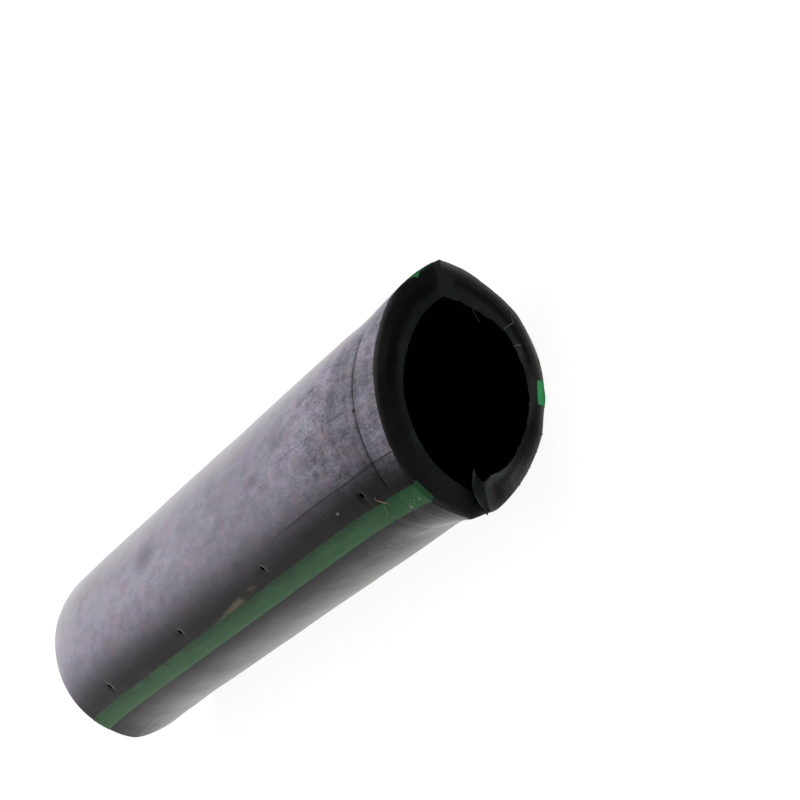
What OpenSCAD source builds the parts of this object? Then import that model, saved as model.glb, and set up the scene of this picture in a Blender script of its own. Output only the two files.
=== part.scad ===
// Offcut of a two-layer soaker hose with inlaid marker stripes and weep holes.
// The near end, at +X, was snipped, which leaves a pinched mouth with two creased crests and a bevelled cut face.
// The far end was snipped alike and is squeezed less.
// The hose lies along X with its crests level. The origin is on the floor under the middle of its box.
// The soft wall gives a little where it lies, so the underside has a narrow flat.

/* [Hose] */
// Length between the corners of the two mouths
hose_length = 83.5; // [60:0.5:240]
// Outside diameter of the round body
outer_d = 16; // [14:0.5:20]
// Wall of the outer skin
skin_wall = 0.85; // [0.7:0.05:1.1]
// Wall of the inner tube
tube_wall = 1.15; // [0.8:0.05:1.4]
// Gap drawn between layers that are bonded to each other
bond_gap = 0.02; // [0.01:0.01:0.04]
// Depth of the flat where the hose lies on the floor
rest_flat = 0.15; // [0.1:0.05:0.4]

/* [Marker stripes] */
// Width of a stripe, measured round the skin
stripe_w = 1.9; // [1.4:0.1:2.4]
// Angle of the front stripe, from the +Y crest and up over the top
front_stripe_angle = 153; // [150:0.5:158]
// Depth of the front stripe in the skin
front_stripe_depth = 0.4; // [0.2:0.05:0.6]
// Angle of the back stripe
back_stripe_angle = 11; // [10:0.5:22]
// Depth of the back stripe in the skin
back_stripe_depth = 0.3; // [0.2:0.05:0.6]
// Angle of the bottom stripe
bottom_stripe_angle = 271; // [262:0.5:280]
// Depth of the bottom stripe in the skin
bottom_stripe_depth = 0.6; // [0.2:0.05:0.6]

/* [Weep holes] */
// Diameter of a weep hole
hole_d = 0.5; // [0.3:0.05:1]
// Distance from the mouth to the first weep hole
first_hole = 6.95; // [4:0.05:12]
// Distance from one weep hole to the next
hole_pitch = 21.9; // [12:0.1:40]
// Angle of the row of weep holes
hole_angle = 136.7; // [100:0.1:140]

/* [Pinched mouths] */
// Length over which the pinch fades out into the round body
pinch_length = 14; // [8:0.5:20]
// Length of the far end's pinch
far_pinch_length = 11.5; // [8:0.5:20]
// Share of the near end's pinch that the far end has
far_pinch = 0.6; // [0.3:0.05:1]
// Half the width of the mouth, from the middle to a crest
crest_half_w = 9.65; // [9.3:0.05:9.9]
// Half the angle that the upper lip turns through
upper_lip_turn = 67; // [62:1:74]
// Half the angle that the lower lip turns through
lower_lip_turn = 77; // [72:1:80]
// How much the upper lip is flattened in its middle
upper_lip_flat = 0.11; // [0:0.01:0.15]
// How much the lower lip leans towards the +Y crest
lower_lip_lean = 0.19; // [0:0.01:0.25]
// How far the outer edge of the cut face lies behind its inner edge
cut_bevel = 0.95; // [0.2:0.05:1.4]
// Distance from a crest over which the bevel grows to full size
bevel_run = 2.5; // [1:0.1:4]
// Lean of the cut face, in degrees, with the upper lip ahead
cut_lean = 3.5; // [0:0.5:8]

/* [Hidden] */

radius = outer_d / 2;
wall = skin_wall + tube_wall;
bore_r = radius - wall;
tube_r = radius - skin_wall - bond_gap;
axis_height = radius - rest_flat;
near_body_end = hose_length / 2 - pinch_length;
far_body_end = hose_length / 2 - far_pinch_length;
body_length = near_body_end + far_body_end;
hole_count = floor((hose_length - 2 * first_hole) / hole_pitch) + 1;

// Each stripe as its angle and its depth
front = [front_stripe_angle, front_stripe_depth];
back = [back_stripe_angle, back_stripe_depth];
bottom = [bottom_stripe_angle, bottom_stripe_depth];
stripes = [front, back, bottom];

// The round body is exact. Each pinched end is a loft of rings, which starts a little inside the body.
round_facets = 128;
hole_facets = 24;
ring_count = 10;
largest_step = 8;
loft_overlap = 0.5;
loft_inset = 0.02;
fade_power = 2;

// Half a stripe, and half its groove, as angles at the skin
function arc_angle(length) = length / radius * 180 / PI;
half_stripe = arc_angle(stripe_w / 2);
half_groove = arc_angle(stripe_w / 2 + bond_gap);
inset_angle = arc_angle(loft_inset);

// ---------- Cross-section ----------

// A station is an angle round the hose. Stations 0 and 180 are the crests, and 90 is the top.
function is_upper(angle) = angle < 180;

// Share of the way along a lip, from -1 at the crest at 180 to 1 at the crest at 0
function lip_share(angle) = is_upper(angle) ? (90 - angle) / 90 : (angle - 270) / 90;

function lip_turn(angle) = is_upper(angle) ? upper_lip_turn : lower_lip_turn;
function lip_shape(angle, share) =
    is_upper(angle) ? 1 - upper_lip_flat * (1 - 3 * share * share) / 2 : 1 + lower_lip_lean * share;

// Radius of a lip's arc, and the distance from its centre to the line between the crests
function lip_radius(angle) = crest_half_w / sin(lip_turn(angle));
function lip_centre(angle) = lip_radius(angle) * cos(lip_turn(angle));

// Half the angle that a lip turns through at a depth under its outer face
function turn_at(angle, depth) = acos(lip_centre(angle) / (lip_radius(angle) - depth));

// Point of the pinched mouth at a depth under the outer face
function lip_point(angle, depth) =
    let (share = lip_share(angle),
         arc_r = lip_radius(angle) - depth,
         turn = share * turn_at(angle, depth),
         height = (arc_r * cos(turn) - lip_centre(angle)) * lip_shape(angle, share))
    [arc_r * sin(turn), is_upper(angle) ? height : -height];

// Point of the round body at the same depth
function body_point(angle, depth) = (radius - depth) * [cos(angle), sin(angle)];

// Distance of a point of the cut face from the plane of the mouth's corners
function cut_face(angle, depth) =
    let (crest_run = lip_radius(angle) * (1 - abs(lip_share(angle))) * lip_turn(angle) * PI / 180,
         bevel_share = 1 - exp(-pow(crest_run / bevel_run, 2)))
    lip_point(angle, depth)[1] * tan(cut_lean) - cut_bevel * bevel_share * (1 - depth / wall);

// How far the middle of the upper lip reaches past the corners
corner_lead = cut_face(90, wall);

// Point of the loft. Progress runs from 0 at the round body to 1 at the cut face. An end's squeeze, its length and
// the body's end are set by one_end.
function loft_point(angle, depth, progress) =
    let (fade = pow(progress * $squeeze, fade_power),
         section = body_point(angle, depth) * (1 - fade) + lip_point(angle, depth) * fade,
         run = $end_length + $squeeze * cut_face(angle, depth) + (1 - $squeeze) * corner_lead)
    [$body_end + run * progress, section[0], axis_height + section[1]];

// ---------- Rings ----------

function sorted(list) =
    len(list) <= 1 ? list :
    let (middle = list[floor(len(list) / 2)])
    concat(sorted([for (v = list) if (v < middle) v]),
           [for (v = list) if (v == middle) v],
           sorted([for (v = list) if (v > middle) v]));

// Stations from one angle up to the next, without the last
function steps(from, to) =
    let (count = ceil((to - from) / largest_step))
    [for (i = [0 : count - 1]) from + (to - from) * i / count];

groove_edges = [for (s = stripes) each [s[0] - half_groove, s[0] + half_groove]];
corners = concat(sorted(concat([0, 180], groove_edges)), [360]);
stations = [for (i = [0 : len(corners) - 2]) each steps(corners[i], corners[i + 1])];

// 1 on the far edge of a groove, -1 on its near edge and 0 elsewhere
function edge_side(angle) =
    len([for (s = stripes) if (angle == s[0] + half_groove) s]) > 0 ? 1 :
    len([for (s = stripes) if (angle == s[0] - half_groove) s]) > 0 ? -1 : 0;

function in_groove(angle) = len([for (s = stripes) if (abs(angle - s[0]) < half_groove) s]) > 0;

// Depth of the groove that a station lies in or on the edge of, or another depth away from the grooves
function floor_depth(angle, elsewhere) =
    let (found = [for (s = stripes) if (abs(angle - s[0]) < half_groove + inset_angle) s[1] + bond_gap])
    len(found) > 0 ? found[0] : elsewhere;

// Rings: how far each is along the loft, and how far it is set in from the faces of the exact body
ring_progress = [for (i = [0 : ring_count]) i / ring_count];
function ring_inset(ring) = ring < 2 ? 1 : 0;

// The first ring lies inside the round body, where the section doesn't change.
function ring_point(angle, depth, ring) =
    let (section = body_point(angle, depth))
    ring == 0 ? [$body_end - loft_overlap, section[0], axis_height + section[1]]
              : loft_point(angle, depth, ring_progress[ring]);

// Two triangles on the corners of a quad, turned over on request
function quad(a, b, c, d, flip) = flip ? [[a, c, b], [a, d, c]] : [[a, b, c], [a, c, d]];

// ---------- Pinched end of a layer ----------

// A layer has three levels of points: its face, the floor of its grooves, and its inside.
module pinched_layer(top, bottom, grooved) {
    count = len(stations);
    rings = ring_count + 1;
    middle = (top + bottom) / 2;

    function shifted(i, ring) =
        stations[i] + (grooved ? edge_side(stations[i]) * ring_inset(ring) * inset_angle : 0);
    function level_depth(level, i, ring) =
        level == 0 ? top + ring_inset(ring) * loft_inset :
        level == 1 ? (grooved ? floor_depth(stations[i], middle) : middle) + ring_inset(ring) * loft_inset :
        bottom - ring_inset(ring) * loft_inset;
    points = [for (ring = [0 : rings - 1]) for (level = [0 : 2]) for (i = [0 : count - 1])
        ring_point(shifted(i, ring), level_depth(level, i, ring), ring)];

    function id(ring, level, i) = (ring * 3 + level) * count + i % count;
    function cut(i) = grooved && in_groove(
        (stations[i % count] + (i % count == count - 1 ? 360 : stations[(i + 1) % count])) / 2);
    function face_level(i) = cut(i) ? 1 : 0;

    sides = [for (ring = [0 : rings - 2]) for (i = [0 : count - 1]) each concat(
        quad(id(ring, face_level(i), i), id(ring, face_level(i), i + 1),
             id(ring + 1, face_level(i), i + 1), id(ring + 1, face_level(i), i), true),
        quad(id(ring, 2, i), id(ring, 2, i + 1), id(ring + 1, 2, i + 1), id(ring + 1, 2, i), false))];
    groove_walls = [for (ring = [0 : rings - 2]) for (i = [1 : count - 1]) if (cut(i) != cut(i - 1)) each
        quad(id(ring, 0, i), id(ring, 1, i), id(ring + 1, 1, i), id(ring + 1, 0, i), cut(i - 1))];
    caps = [for (ring = [0, rings - 1]) for (i = [0 : count - 1]) each concat(
        cut(i) ? [] : quad(id(ring, 0, i), id(ring, 0, i + 1), id(ring, 1, i + 1), id(ring, 1, i), ring > 0),
        quad(id(ring, 1, i), id(ring, 1, i + 1), id(ring, 2, i + 1), id(ring, 2, i), ring > 0))];
    polyhedron(points, concat(sides, groove_walls, caps));
}

// An end of the hose, built up towards +X
module one_end($squeeze, $end_length, $body_end) {
    children();
}

module both_ends() {
    one_end(1, pinch_length, near_body_end) children();
    mirror([1, 0, 0]) one_end(far_pinch, far_pinch_length, far_body_end) children();
}

// Turns a form built up along Z into one along the hose, centred on the body's axis
module along_body() {
    translate([-far_body_end, 0, axis_height]) rotate([90, 0, 90]) children();
}

// Leaves what lies above the floor
module above_floor() {
    difference() {
        children();
        translate([-hose_length, -outer_d, -outer_d]) cube([2 * hose_length, 2 * outer_d, outer_d]);
    }
}

// ---------- Weep holes ----------

// One row, counted from the mouth at +X
module weep_holes() {
    for (i = [0 : hole_count - 1])
        translate([hose_length / 2 - first_hole - i * hole_pitch, 0, axis_height])
            rotate([90 - hole_angle, 0, 0])
                translate([0, 0, bore_r / 2])
                    cylinder(h = 2 * radius, d = hole_d, $fn = hole_facets);
}

// ---------- Layers ----------

module round_layer(outer_r, inner_r) {
    difference() {
        cylinder(h = body_length, r = outer_r, $fn = round_facets);
        translate([0, 0, -1]) cylinder(h = body_length + 2, r = inner_r, $fn = round_facets);
    }
}

// Sector of a ring, as long as the round body
module body_sector(angle, half_angle, outer_r, inner_r, past_end) {
    translate([0, 0, -past_end])
        rotate([0, 0, angle - half_angle])
            rotate_extrude(angle = 2 * half_angle, $fn = round_facets)
                translate([inner_r, 0]) square([outer_r - inner_r, body_length + 2 * past_end]);
}

module inner_tube() {
    color([0.13, 0.13, 0.14])
        difference() {
            union() {
                along_body() round_layer(tube_r, bore_r);
                both_ends() pinched_layer(skin_wall + bond_gap, wall, false);
            }
            weep_holes();
        }
}

module outer_skin() {
    color([0.2, 0.19, 0.21])
        above_floor() difference() {
            union() {
                along_body() difference() {
                    round_layer(radius, radius - skin_wall);
                    for (s = stripes)
                        body_sector(s[0], half_groove, radius + 1, radius - s[1] - bond_gap, 1);
                }
                both_ends() pinched_layer(0, skin_wall, true);
            }
            weep_holes();
        }
}

// ---------- Marker stripes ----------

// End of a stripe, which follows the skin into the pinched mouth
module stripe_end(angle, depth) {
    across = concat(steps(angle - half_stripe, angle + half_stripe), [angle + half_stripe]);
    count = len(across);
    rings = ring_count + 1;

    function share(i) = 1 - ring_inset_share(i);
    function ring_inset_share(ring) = ring_inset(ring) * inset_angle / half_stripe;
    function placed(i, ring) = angle + (across[i] - angle) * share(ring);
    function level_depth(level, ring) =
        level == 0 ? ring_inset(ring) * loft_inset : depth - ring_inset(ring) * loft_inset;
    points = [for (ring = [0 : rings - 1]) for (level = [0, 1]) for (i = [0 : count - 1])
        ring_point(placed(i, ring), level_depth(level, ring), ring)];

    function id(ring, level, i) = (ring * 2 + level) * count + i;
    faces = [for (ring = [0 : rings - 2]) for (i = [0 : count - 2]) each concat(
        quad(id(ring, 0, i), id(ring, 0, i + 1), id(ring + 1, 0, i + 1), id(ring + 1, 0, i), true),
        quad(id(ring, 1, i), id(ring, 1, i + 1), id(ring + 1, 1, i + 1), id(ring + 1, 1, i), false))];
    edges = [for (ring = [0 : rings - 2]) each concat(
        quad(id(ring, 0, 0), id(ring, 1, 0), id(ring + 1, 1, 0), id(ring + 1, 0, 0), false),
        quad(id(ring, 0, count - 1), id(ring, 1, count - 1),
             id(ring + 1, 1, count - 1), id(ring + 1, 0, count - 1), true))];
    caps = [for (ring = [0, rings - 1]) for (i = [0 : count - 2]) each
        quad(id(ring, 0, i), id(ring, 0, i + 1), id(ring, 1, i + 1), id(ring, 1, i), ring > 0)];
    polyhedron(points, concat(faces, edges, caps));
}

module stripe(place) {
    color([0.17, 0.5, 0.3]) {
        along_body() body_sector(place[0], half_stripe, radius, radius - place[1], 0);
        both_ends() stripe_end(place[0], place[1]);
    }
}

module front_stripe() {
    stripe(front);
}

module back_stripe() {
    stripe(back);
}

module bottom_stripe() {
    above_floor() stripe(bottom);
}

inner_tube();
outer_skin();
front_stripe();
back_stripe();
bottom_stripe();
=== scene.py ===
"""Soaker hose offcut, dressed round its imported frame.

The hose is made here in the order of the real one: each layer is laid out straight, its weep holes are
drilled, and one form then pinches and snips both ends. The green stripes, the torn flap, the burrs and the
lint follow the same form, so they stay seated on it.

Units are metres. X runs along the hose, the mouths' crests point along Y, and the floor is at z = 0.
A turn round the hose starts at the +Y crest and passes the top at 90 degrees.
"""
import logging
import math
from dataclasses import dataclass, field
from enum import Enum
from typing import Callable, Sequence

import bpy
from mathutils import Matrix, Vector


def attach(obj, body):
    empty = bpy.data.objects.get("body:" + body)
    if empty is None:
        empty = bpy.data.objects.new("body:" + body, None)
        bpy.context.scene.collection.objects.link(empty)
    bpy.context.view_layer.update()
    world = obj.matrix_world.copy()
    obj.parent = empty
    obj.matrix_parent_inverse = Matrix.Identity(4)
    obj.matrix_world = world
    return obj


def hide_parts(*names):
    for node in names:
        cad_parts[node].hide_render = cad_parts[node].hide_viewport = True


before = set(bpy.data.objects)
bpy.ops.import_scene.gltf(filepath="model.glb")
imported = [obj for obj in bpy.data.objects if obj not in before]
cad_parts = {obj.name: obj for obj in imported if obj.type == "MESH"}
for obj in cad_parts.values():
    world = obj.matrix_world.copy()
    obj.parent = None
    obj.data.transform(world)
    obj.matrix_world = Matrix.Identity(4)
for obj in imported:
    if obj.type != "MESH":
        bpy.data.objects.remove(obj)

log = logging.getLogger("soaker_hose")

MM = 0.001
RADIUS_IN_MM = 8.0
LAY = "lay"
DEPTH = "cut_depth"
GROOVE_SHADE = "score"
Colour = tuple[float, float, float]
Point = tuple[float, float, float]


class Tree(Enum):
    """The two kinds of node tree."""

    GEOMETRY = "GeometryNodeTree"
    SHADER = "ShaderNodeTree"


class Socket(Enum):
    """The kinds of socket that a group puts out or takes in."""

    NUMBER = "NodeSocketFloat"
    COUNT = "NodeSocketInt"
    PLACE = "NodeSocketVector"
    COLOUR = "NodeSocketColor"
    SHAPE = "NodeSocketGeometry"
    FINISH = "NodeSocketMaterial"


class Value:
    """One output of a node, with the usual arithmetic, so that a rule reads as it is written."""

    def __init__(self, wires: "Wires", socket: bpy.types.NodeSocket) -> None:
        """Holds the socket and the tree that it is in."""
        self.wires = wires
        self.socket = socket

    def __add__(self, other: "Value | float") -> "Value":
        """Sum."""
        return self.wires.math("ADD", self, other)

    __radd__ = __add__

    def __sub__(self, other: "Value | float") -> "Value":
        """Difference."""
        return self.wires.math("SUBTRACT", self, other)

    def __rsub__(self, other: float) -> "Value":
        """Difference from a plain number."""
        return self.wires.math("SUBTRACT", other, self)

    def __mul__(self, other: "Value | float") -> "Value":
        """Product."""
        return self.wires.math("MULTIPLY", self, other)

    __rmul__ = __mul__

    def __truediv__(self, other: "Value | float") -> "Value":
        """Quotient."""
        return self.wires.math("DIVIDE", self, other)

    def __neg__(self) -> "Value":
        """The value with its sign turned."""
        return self.wires.math("MULTIPLY", self, -1.0)

    def __abs__(self) -> "Value":
        """The value without its sign."""
        return self.wires.math("ABSOLUTE", self)

    def __gt__(self, other: "Value | float") -> "Value":
        """1 where it is the greater, and 0 elsewhere."""
        return self.wires.math("GREATER_THAN", self, other)

    def __lt__(self, other: "Value | float") -> "Value":
        """1 where it is the smaller, and 0 elsewhere."""
        return self.wires.math("LESS_THAN", self, other)


class Wires:
    """Adds nodes to one tree and joins them up."""

    def __init__(self, tree: bpy.types.NodeTree) -> None:
        """Holds the tree."""
        self.tree = tree

    def node(self, kind: str, **settings: object) -> bpy.types.Node:
        """Adds a node.

        Args:
            kind: The node's type.
            **settings: Its properties, by name.

        Returns:
            The node.
        """
        node = self.tree.nodes.new(kind)
        for name, value in settings.items():
            setattr(node, name, value)
        return node

    def put(self, socket: bpy.types.NodeSocket, value: object) -> None:
        """Links a value to a socket, or writes a plain number, place or colour on it.

        Args:
            socket: The input that takes it.
            value: A Value, a socket or something plain.
        """
        if isinstance(value, Value):
            value = value.socket
        if isinstance(value, bpy.types.NodeSocket):
            self.tree.links.new(value, socket)
        elif isinstance(value, tuple) and socket.type == "RGBA":
            socket.default_value = (*value, 1.0)
        else:
            socket.default_value = value

    def out(self, node: bpy.types.Node, key: "str | int" = 0) -> Value:
        """One output of a node, as a value."""
        return Value(self, node.outputs[key])

    def math(self, operation: str, *values: "Value | float") -> Value:
        """One sum on numbers.

        Args:
            operation: The Math node's operation.
            *values: What it works on.

        Returns:
            The result.
        """
        node = self.node("ShaderNodeMath", operation=operation)
        for socket, value in zip(node.inputs, values):
            self.put(socket, value)
        return self.out(node)

    def place(self, x: "Value | float", y: "Value | float", z: "Value | float") -> Value:
        """A place from its three numbers.

        Args:
            x: Its first number.
            y: Its second number.
            z: Its third number.

        Returns:
            The place.
        """
        node = self.node("ShaderNodeCombineXYZ")
        for socket, value in zip(node.inputs, (x, y, z)):
            self.put(socket, value)
        return self.out(node)

    def split(self, place: Value) -> tuple[Value, Value, Value]:
        """The three numbers of a place.

        Args:
            place: The place.

        Returns:
            Its numbers, in order.
        """
        node = self.node("ShaderNodeSeparateXYZ")
        self.put(node.inputs[0], place)
        return self.out(node, 0), self.out(node, 1), self.out(node, 2)

    def stretch(self, place: Value, x: float, y: float, z: float) -> Value:
        """A place with each of its numbers scaled.

        Args:
            place: The place.
            x: What scales its first number.
            y: What scales its second number.
            z: What scales its third number.

        Returns:
            The scaled place.
        """
        node = self.node("ShaderNodeVectorMath", operation="MULTIPLY")
        self.put(node.inputs[0], place)
        node.inputs[1].default_value = (x, y, z)
        return self.out(node)

    def shift(self, place: Value, by: "Value | Point") -> Value:
        """A place moved by another.

        Args:
            place: The place.
            by: How far it moves.

        Returns:
            The moved place.
        """
        node = self.node("ShaderNodeVectorMath", operation="ADD")
        self.put(node.inputs[0], place)
        self.put(node.inputs[1], by)
        return self.out(node)

    def ease(self, value: Value, start: float, end: float) -> Value:
        """Goes smoothly from 0 at start to 1 at end, and stays there past them.

        Args:
            value: What is looked up.
            start: Where the result is 0.
            end: Where the result is 1.

        Returns:
            The result.
        """
        node = self.node("ShaderNodeMapRange", interpolation_type="SMOOTHSTEP")
        for socket, number in zip(node.inputs, (value, start, end, 0.0, 1.0)):
            self.put(socket, number)
        return self.out(node)

    def bell(self, value: Value, centre: "Value | float", half: "Value | float") -> Value:
        """1 at the centre, falling off to both sides with the given half width."""
        away = (value - centre) / half
        return self.math("EXPONENT", -(away * away))

    def window(self, value: Value, start: float, end: float, soft: float) -> Value:
        """1 between start and end, with soft shoulders."""
        return self.ease(value, start - soft, start + soft) * self.ease(value, end + soft, end - soft)

    def clamp(self, value: Value) -> Value:
        """The value kept between 0 and 1."""
        return self.math("MINIMUM", self.math("MAXIMUM", value, 0.0), 1.0)

    def noise(self, place: Value, scale: float, detail: float = 2.0, rough: float = 0.5) -> Value:
        """Soft noise about 0.5.

        Args:
            place: Where it is read.
            scale: How many lumps there are to a unit of place.
            detail: How many finer layers it has.
            rough: How strong those are.

        Returns:
            The noise.
        """
        node = self.node("ShaderNodeTexNoise", noise_dimensions="3D")
        self.put(node.inputs["Vector"], place)
        node.inputs["Scale"].default_value = scale
        node.inputs["Detail"].default_value = detail
        node.inputs["Roughness"].default_value = rough
        return self.out(node, 0)

    def blend(self, share: "Value | float", low: "Value | Colour", high: "Value | Colour") -> Value:
        """Mixes two colours.

        Args:
            share: How much there is of the second.
            low: The colour at 0.
            high: The colour at 1.

        Returns:
            The mixed colour.
        """
        node = self.node("ShaderNodeMix", data_type="RGBA", blend_type="MIX")
        self.put(node.inputs[0], share)
        self.put(node.inputs[6], low)
        self.put(node.inputs[7], high)
        return self.out(node, 2)

    def between(self, share: "Value | float", low: "Value | float", high: "Value | float") -> Value:
        """Mixes two numbers."""
        return low + (high - low) * share if isinstance(low, Value) or isinstance(high, Value) \
            else share * (high - low) + low


class Group:
    """A node group with named inputs and outputs, built once and placed where it is wanted."""

    def __init__(self, name: str, tree: Tree, takes: dict[str, object], gives: dict[str, Socket]) -> None:
        """Makes the tree and its sockets.

        Args:
            name: The group's name.
            tree: Its kind.
            takes: Its inputs, each with its usual value or with its kind of socket.
            gives: Its outputs.
        """
        self.tree = bpy.data.node_groups.new(name, tree.value)
        self.wires = Wires(self.tree)
        self.keys: dict[str, str] = {}
        for label, usual in takes.items():
            kind = usual if isinstance(usual, Socket) else (
                Socket.COUNT if isinstance(usual, int) else
                Socket.PLACE if isinstance(usual, tuple) else Socket.NUMBER)
            socket = self.tree.interface.new_socket(name=label, in_out="INPUT", socket_type=kind.value)
            if not isinstance(usual, Socket):
                socket.default_value = usual
            self.keys[label] = socket.identifier
        for label, kind in gives.items():
            self.tree.interface.new_socket(name=label, in_out="OUTPUT", socket_type=kind.value)
        self.source = self.wires.node("NodeGroupInput")
        self.sink = self.wires.node("NodeGroupOutput")

    def __getitem__(self, label: str) -> Value:
        """One input, inside the group."""
        return self.wires.out(self.source, label)

    def __setitem__(self, label: str, value: object) -> None:
        """Joins one output, inside the group."""
        self.wires.put(self.sink.inputs[label], value)

    def lay(self, wires: Wires, **inputs: object) -> bpy.types.Node:
        """Places the group in another tree.

        Args:
            wires: The tree that it goes into.
            **inputs: Its inputs, with underscores for the spaces of their names.

        Returns:
            The group's node there.
        """
        kind = "GeometryNodeGroup" if self.tree.bl_idname == Tree.GEOMETRY.value else "ShaderNodeGroup"
        node = wires.node(kind, node_tree=self.tree)
        for label, value in inputs.items():
            wires.put(node.inputs[label.replace("_", " ")], value)
        return node


@dataclass(frozen=True)
class Hose:
    """Sizes of the hose, as in the part's source.

    Half the length is that of the straight hose on which the pieces are laid out. The form draws its far end
    in to the length of the far pinch, and then moves the hose to the middle of its box.
    """

    radius: float = RADIUS_IN_MM * MM
    half_length: float = 43.0 * MM
    pinch_length: float = 14.0 * MM
    far_pinch_length: float = 11.5 * MM
    far_pinch: float = 0.6
    crest_half_w: float = 9.65 * MM
    upper_lip_turn: float = math.radians(67.0)
    lower_lip_turn: float = math.radians(77.0)
    upper_lip_flat: float = 0.11
    lower_lip_lean: float = 0.19
    cut_bevel: float = 0.95 * MM
    bevel_run: float = 2.5 * MM
    cut_lean: float = math.radians(3.5)
    wall: float = 2.0 * MM
    skin_wall: float = 0.85 * MM
    rest_flat: float = 0.15 * MM
    stripe_width: float = 1.9 * MM
    hole_width: float = 0.5 * MM
    first_hole: float = 6.95 * MM
    hole_pitch: float = 21.9 * MM
    hole_count: int = 4
    hole_turn: float = math.radians(136.7)

    def form_sizes(self) -> dict[str, float]:
        """The sizes that the form of the pinched ends takes, by the names of its inputs.

        Returns:
            The sizes.
        """
        return {
            "Radius": self.radius,
            "Body End": self.half_length - self.pinch_length,
            "Pinch Length": self.pinch_length,
            "Far Pinch Length": self.far_pinch_length,
            "Far Pinch": self.far_pinch,
            "Crest Half Width": self.crest_half_w,
            "Upper Lip Turn": self.upper_lip_turn,
            "Lower Lip Turn": self.lower_lip_turn,
            "Upper Lip Flat": self.upper_lip_flat,
            "Lower Lip Lean": self.lower_lip_lean,
            "Cut Bevel": self.cut_bevel,
            "Bevel Run": self.bevel_run,
            "Cut Lean": self.cut_lean,
            "Wall": self.wall,
            "Axis Height": self.radius - self.rest_flat,
        }

    def holes(self) -> list[float]:
        """Where the weep holes are along the hose."""
        start = self.half_length - self.first_hole
        return [start - i * self.hole_pitch for i in range(self.hole_count)]


class MouthForm:
    """The rule that turns a straight hose into one with pinched and snipped ends."""

    def __init__(self, hose: Hose) -> None:
        """Builds the group.

        Args:
            hose: The sizes that its inputs start from.
        """
        self.hose = hose
        self.group = Group("mouth form", Tree.GEOMETRY, {"Place": Socket.PLACE, **hose.form_sizes()},
                           {"Place": Socket.PLACE})
        self._build()

    def _build(self) -> None:
        """Writes the rule: a lens of two lips, faded in along the pinch, with a leaning, bevelled cut."""
        g, w = self.group, self.group.wires
        x, y, z = w.split(g["Place"])
        reach = w.math("SQRT", y * y + z * z)
        depth = g["Radius"] - reach
        upper = z > -1e-7
        share = 1.0 - abs(w.math("ARCTAN2", z, y)) * (2.0 / math.pi)
        half_turn = w.between(upper, g["Lower Lip Turn"], g["Upper Lip Turn"])
        arc = g["Crest Half Width"] / w.math("SINE", half_turn)
        centre = arc * w.math("COSINE", half_turn)
        inner_arc = arc - depth
        turn = share * w.math("ARCCOSINE", w.math("MINIMUM", centre / inner_arc, 1.0))
        upper_shape = 1.0 - g["Upper Lip Flat"] * (1.0 - share * share * 3.0) * 0.5
        lower_shape = g["Lower Lip Lean"] * share + 1.0
        height = (inner_arc * w.math("COSINE", turn) - centre) * w.between(upper, lower_shape, upper_shape)
        lip_y = inner_arc * w.math("SINE", turn)
        lip_z = height * (upper * 2.0 - 1.0)
        near = x > 0.0
        past = w.math("MAXIMUM", abs(x) - g["Body End"], 0.0) / g["Pinch Length"]
        squeeze = w.between(near, g["Far Pinch"], 1.0)
        pinch = w.clamp(past) * squeeze
        fade = pinch * pinch
        from_crest = arc * (1.0 - abs(share)) * half_turn / g["Bevel Run"]
        bevel = (1.0 - w.math("EXPONENT", -(from_crest * from_crest))) * (1.0 - depth / g["Wall"])
        cut = lip_z * w.math("TANGENT", g["Cut Lean"]) - g["Cut Bevel"] * bevel
        lead = self.corner_lead(g, w) * (1.0 - squeeze) * w.clamp(past)
        length = w.between(near, g["Far Pinch Length"], g["Pinch Length"])
        reached = w.math("MINIMUM", abs(x), g["Body End"]) + past * length + cut * pinch + lead
        middle = (g["Pinch Length"] - g["Far Pinch Length"]) * 0.5
        g["Place"] = w.place(w.math("SIGN", x) * reached - middle, w.between(fade, y, lip_y),
                             w.math("MAXIMUM", w.between(fade, z, lip_z) + g["Axis Height"], 0.0))

    @staticmethod
    def corner_lead(g: Group, w: Wires) -> Value:
        """How far the middle of the upper lip reaches past the mouth's corners.

        Args:
            g: The group that takes the sizes.
            w: Its tree.

        Returns:
            The lead.
        """
        arc = g["Crest Half Width"] / w.math("SINE", g["Upper Lip Turn"])
        height = arc - g["Wall"] - arc * w.math("COSINE", g["Upper Lip Turn"])
        return height * (1.0 - g["Upper Lip Flat"] * 0.5) * w.math("TANGENT", g["Cut Lean"])

    def lay(self, wires: Wires, place: Value, sizes: Group) -> Value:
        """Runs the form in a piece's tree.

        Args:
            wires: The piece's tree.
            place: Where each point is on the straight hose.
            sizes: The group whose inputs hold the form's sizes.

        Returns:
            Where each point goes.
        """
        node = self.group.lay(wires, Place=place)
        for label in self.hose.form_sizes():
            wires.put(node.inputs[label], sizes[label])
        return wires.out(node)


def straight(along: float, turn: float, depth: float, radius: float) -> Point:
    """A point on the straight hose.

    Args:
        along: Its place along the hose.
        turn: Its turn round the hose, in degrees.
        depth: How far it is under the outer face.
        radius: The hose's outer radius.

    Returns:
        The point.
    """
    turn = turn % 360.0
    cos = {0.0: 1.0, 90.0: 0.0, 180.0: -1.0, 270.0: 0.0}.get(turn, math.cos(math.radians(turn)))
    sin = {0.0: 0.0, 90.0: 1.0, 180.0: 0.0, 270.0: -1.0}.get(turn, math.sin(math.radians(turn)))
    return along, (radius - depth) * cos, (radius - depth) * sin


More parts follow.
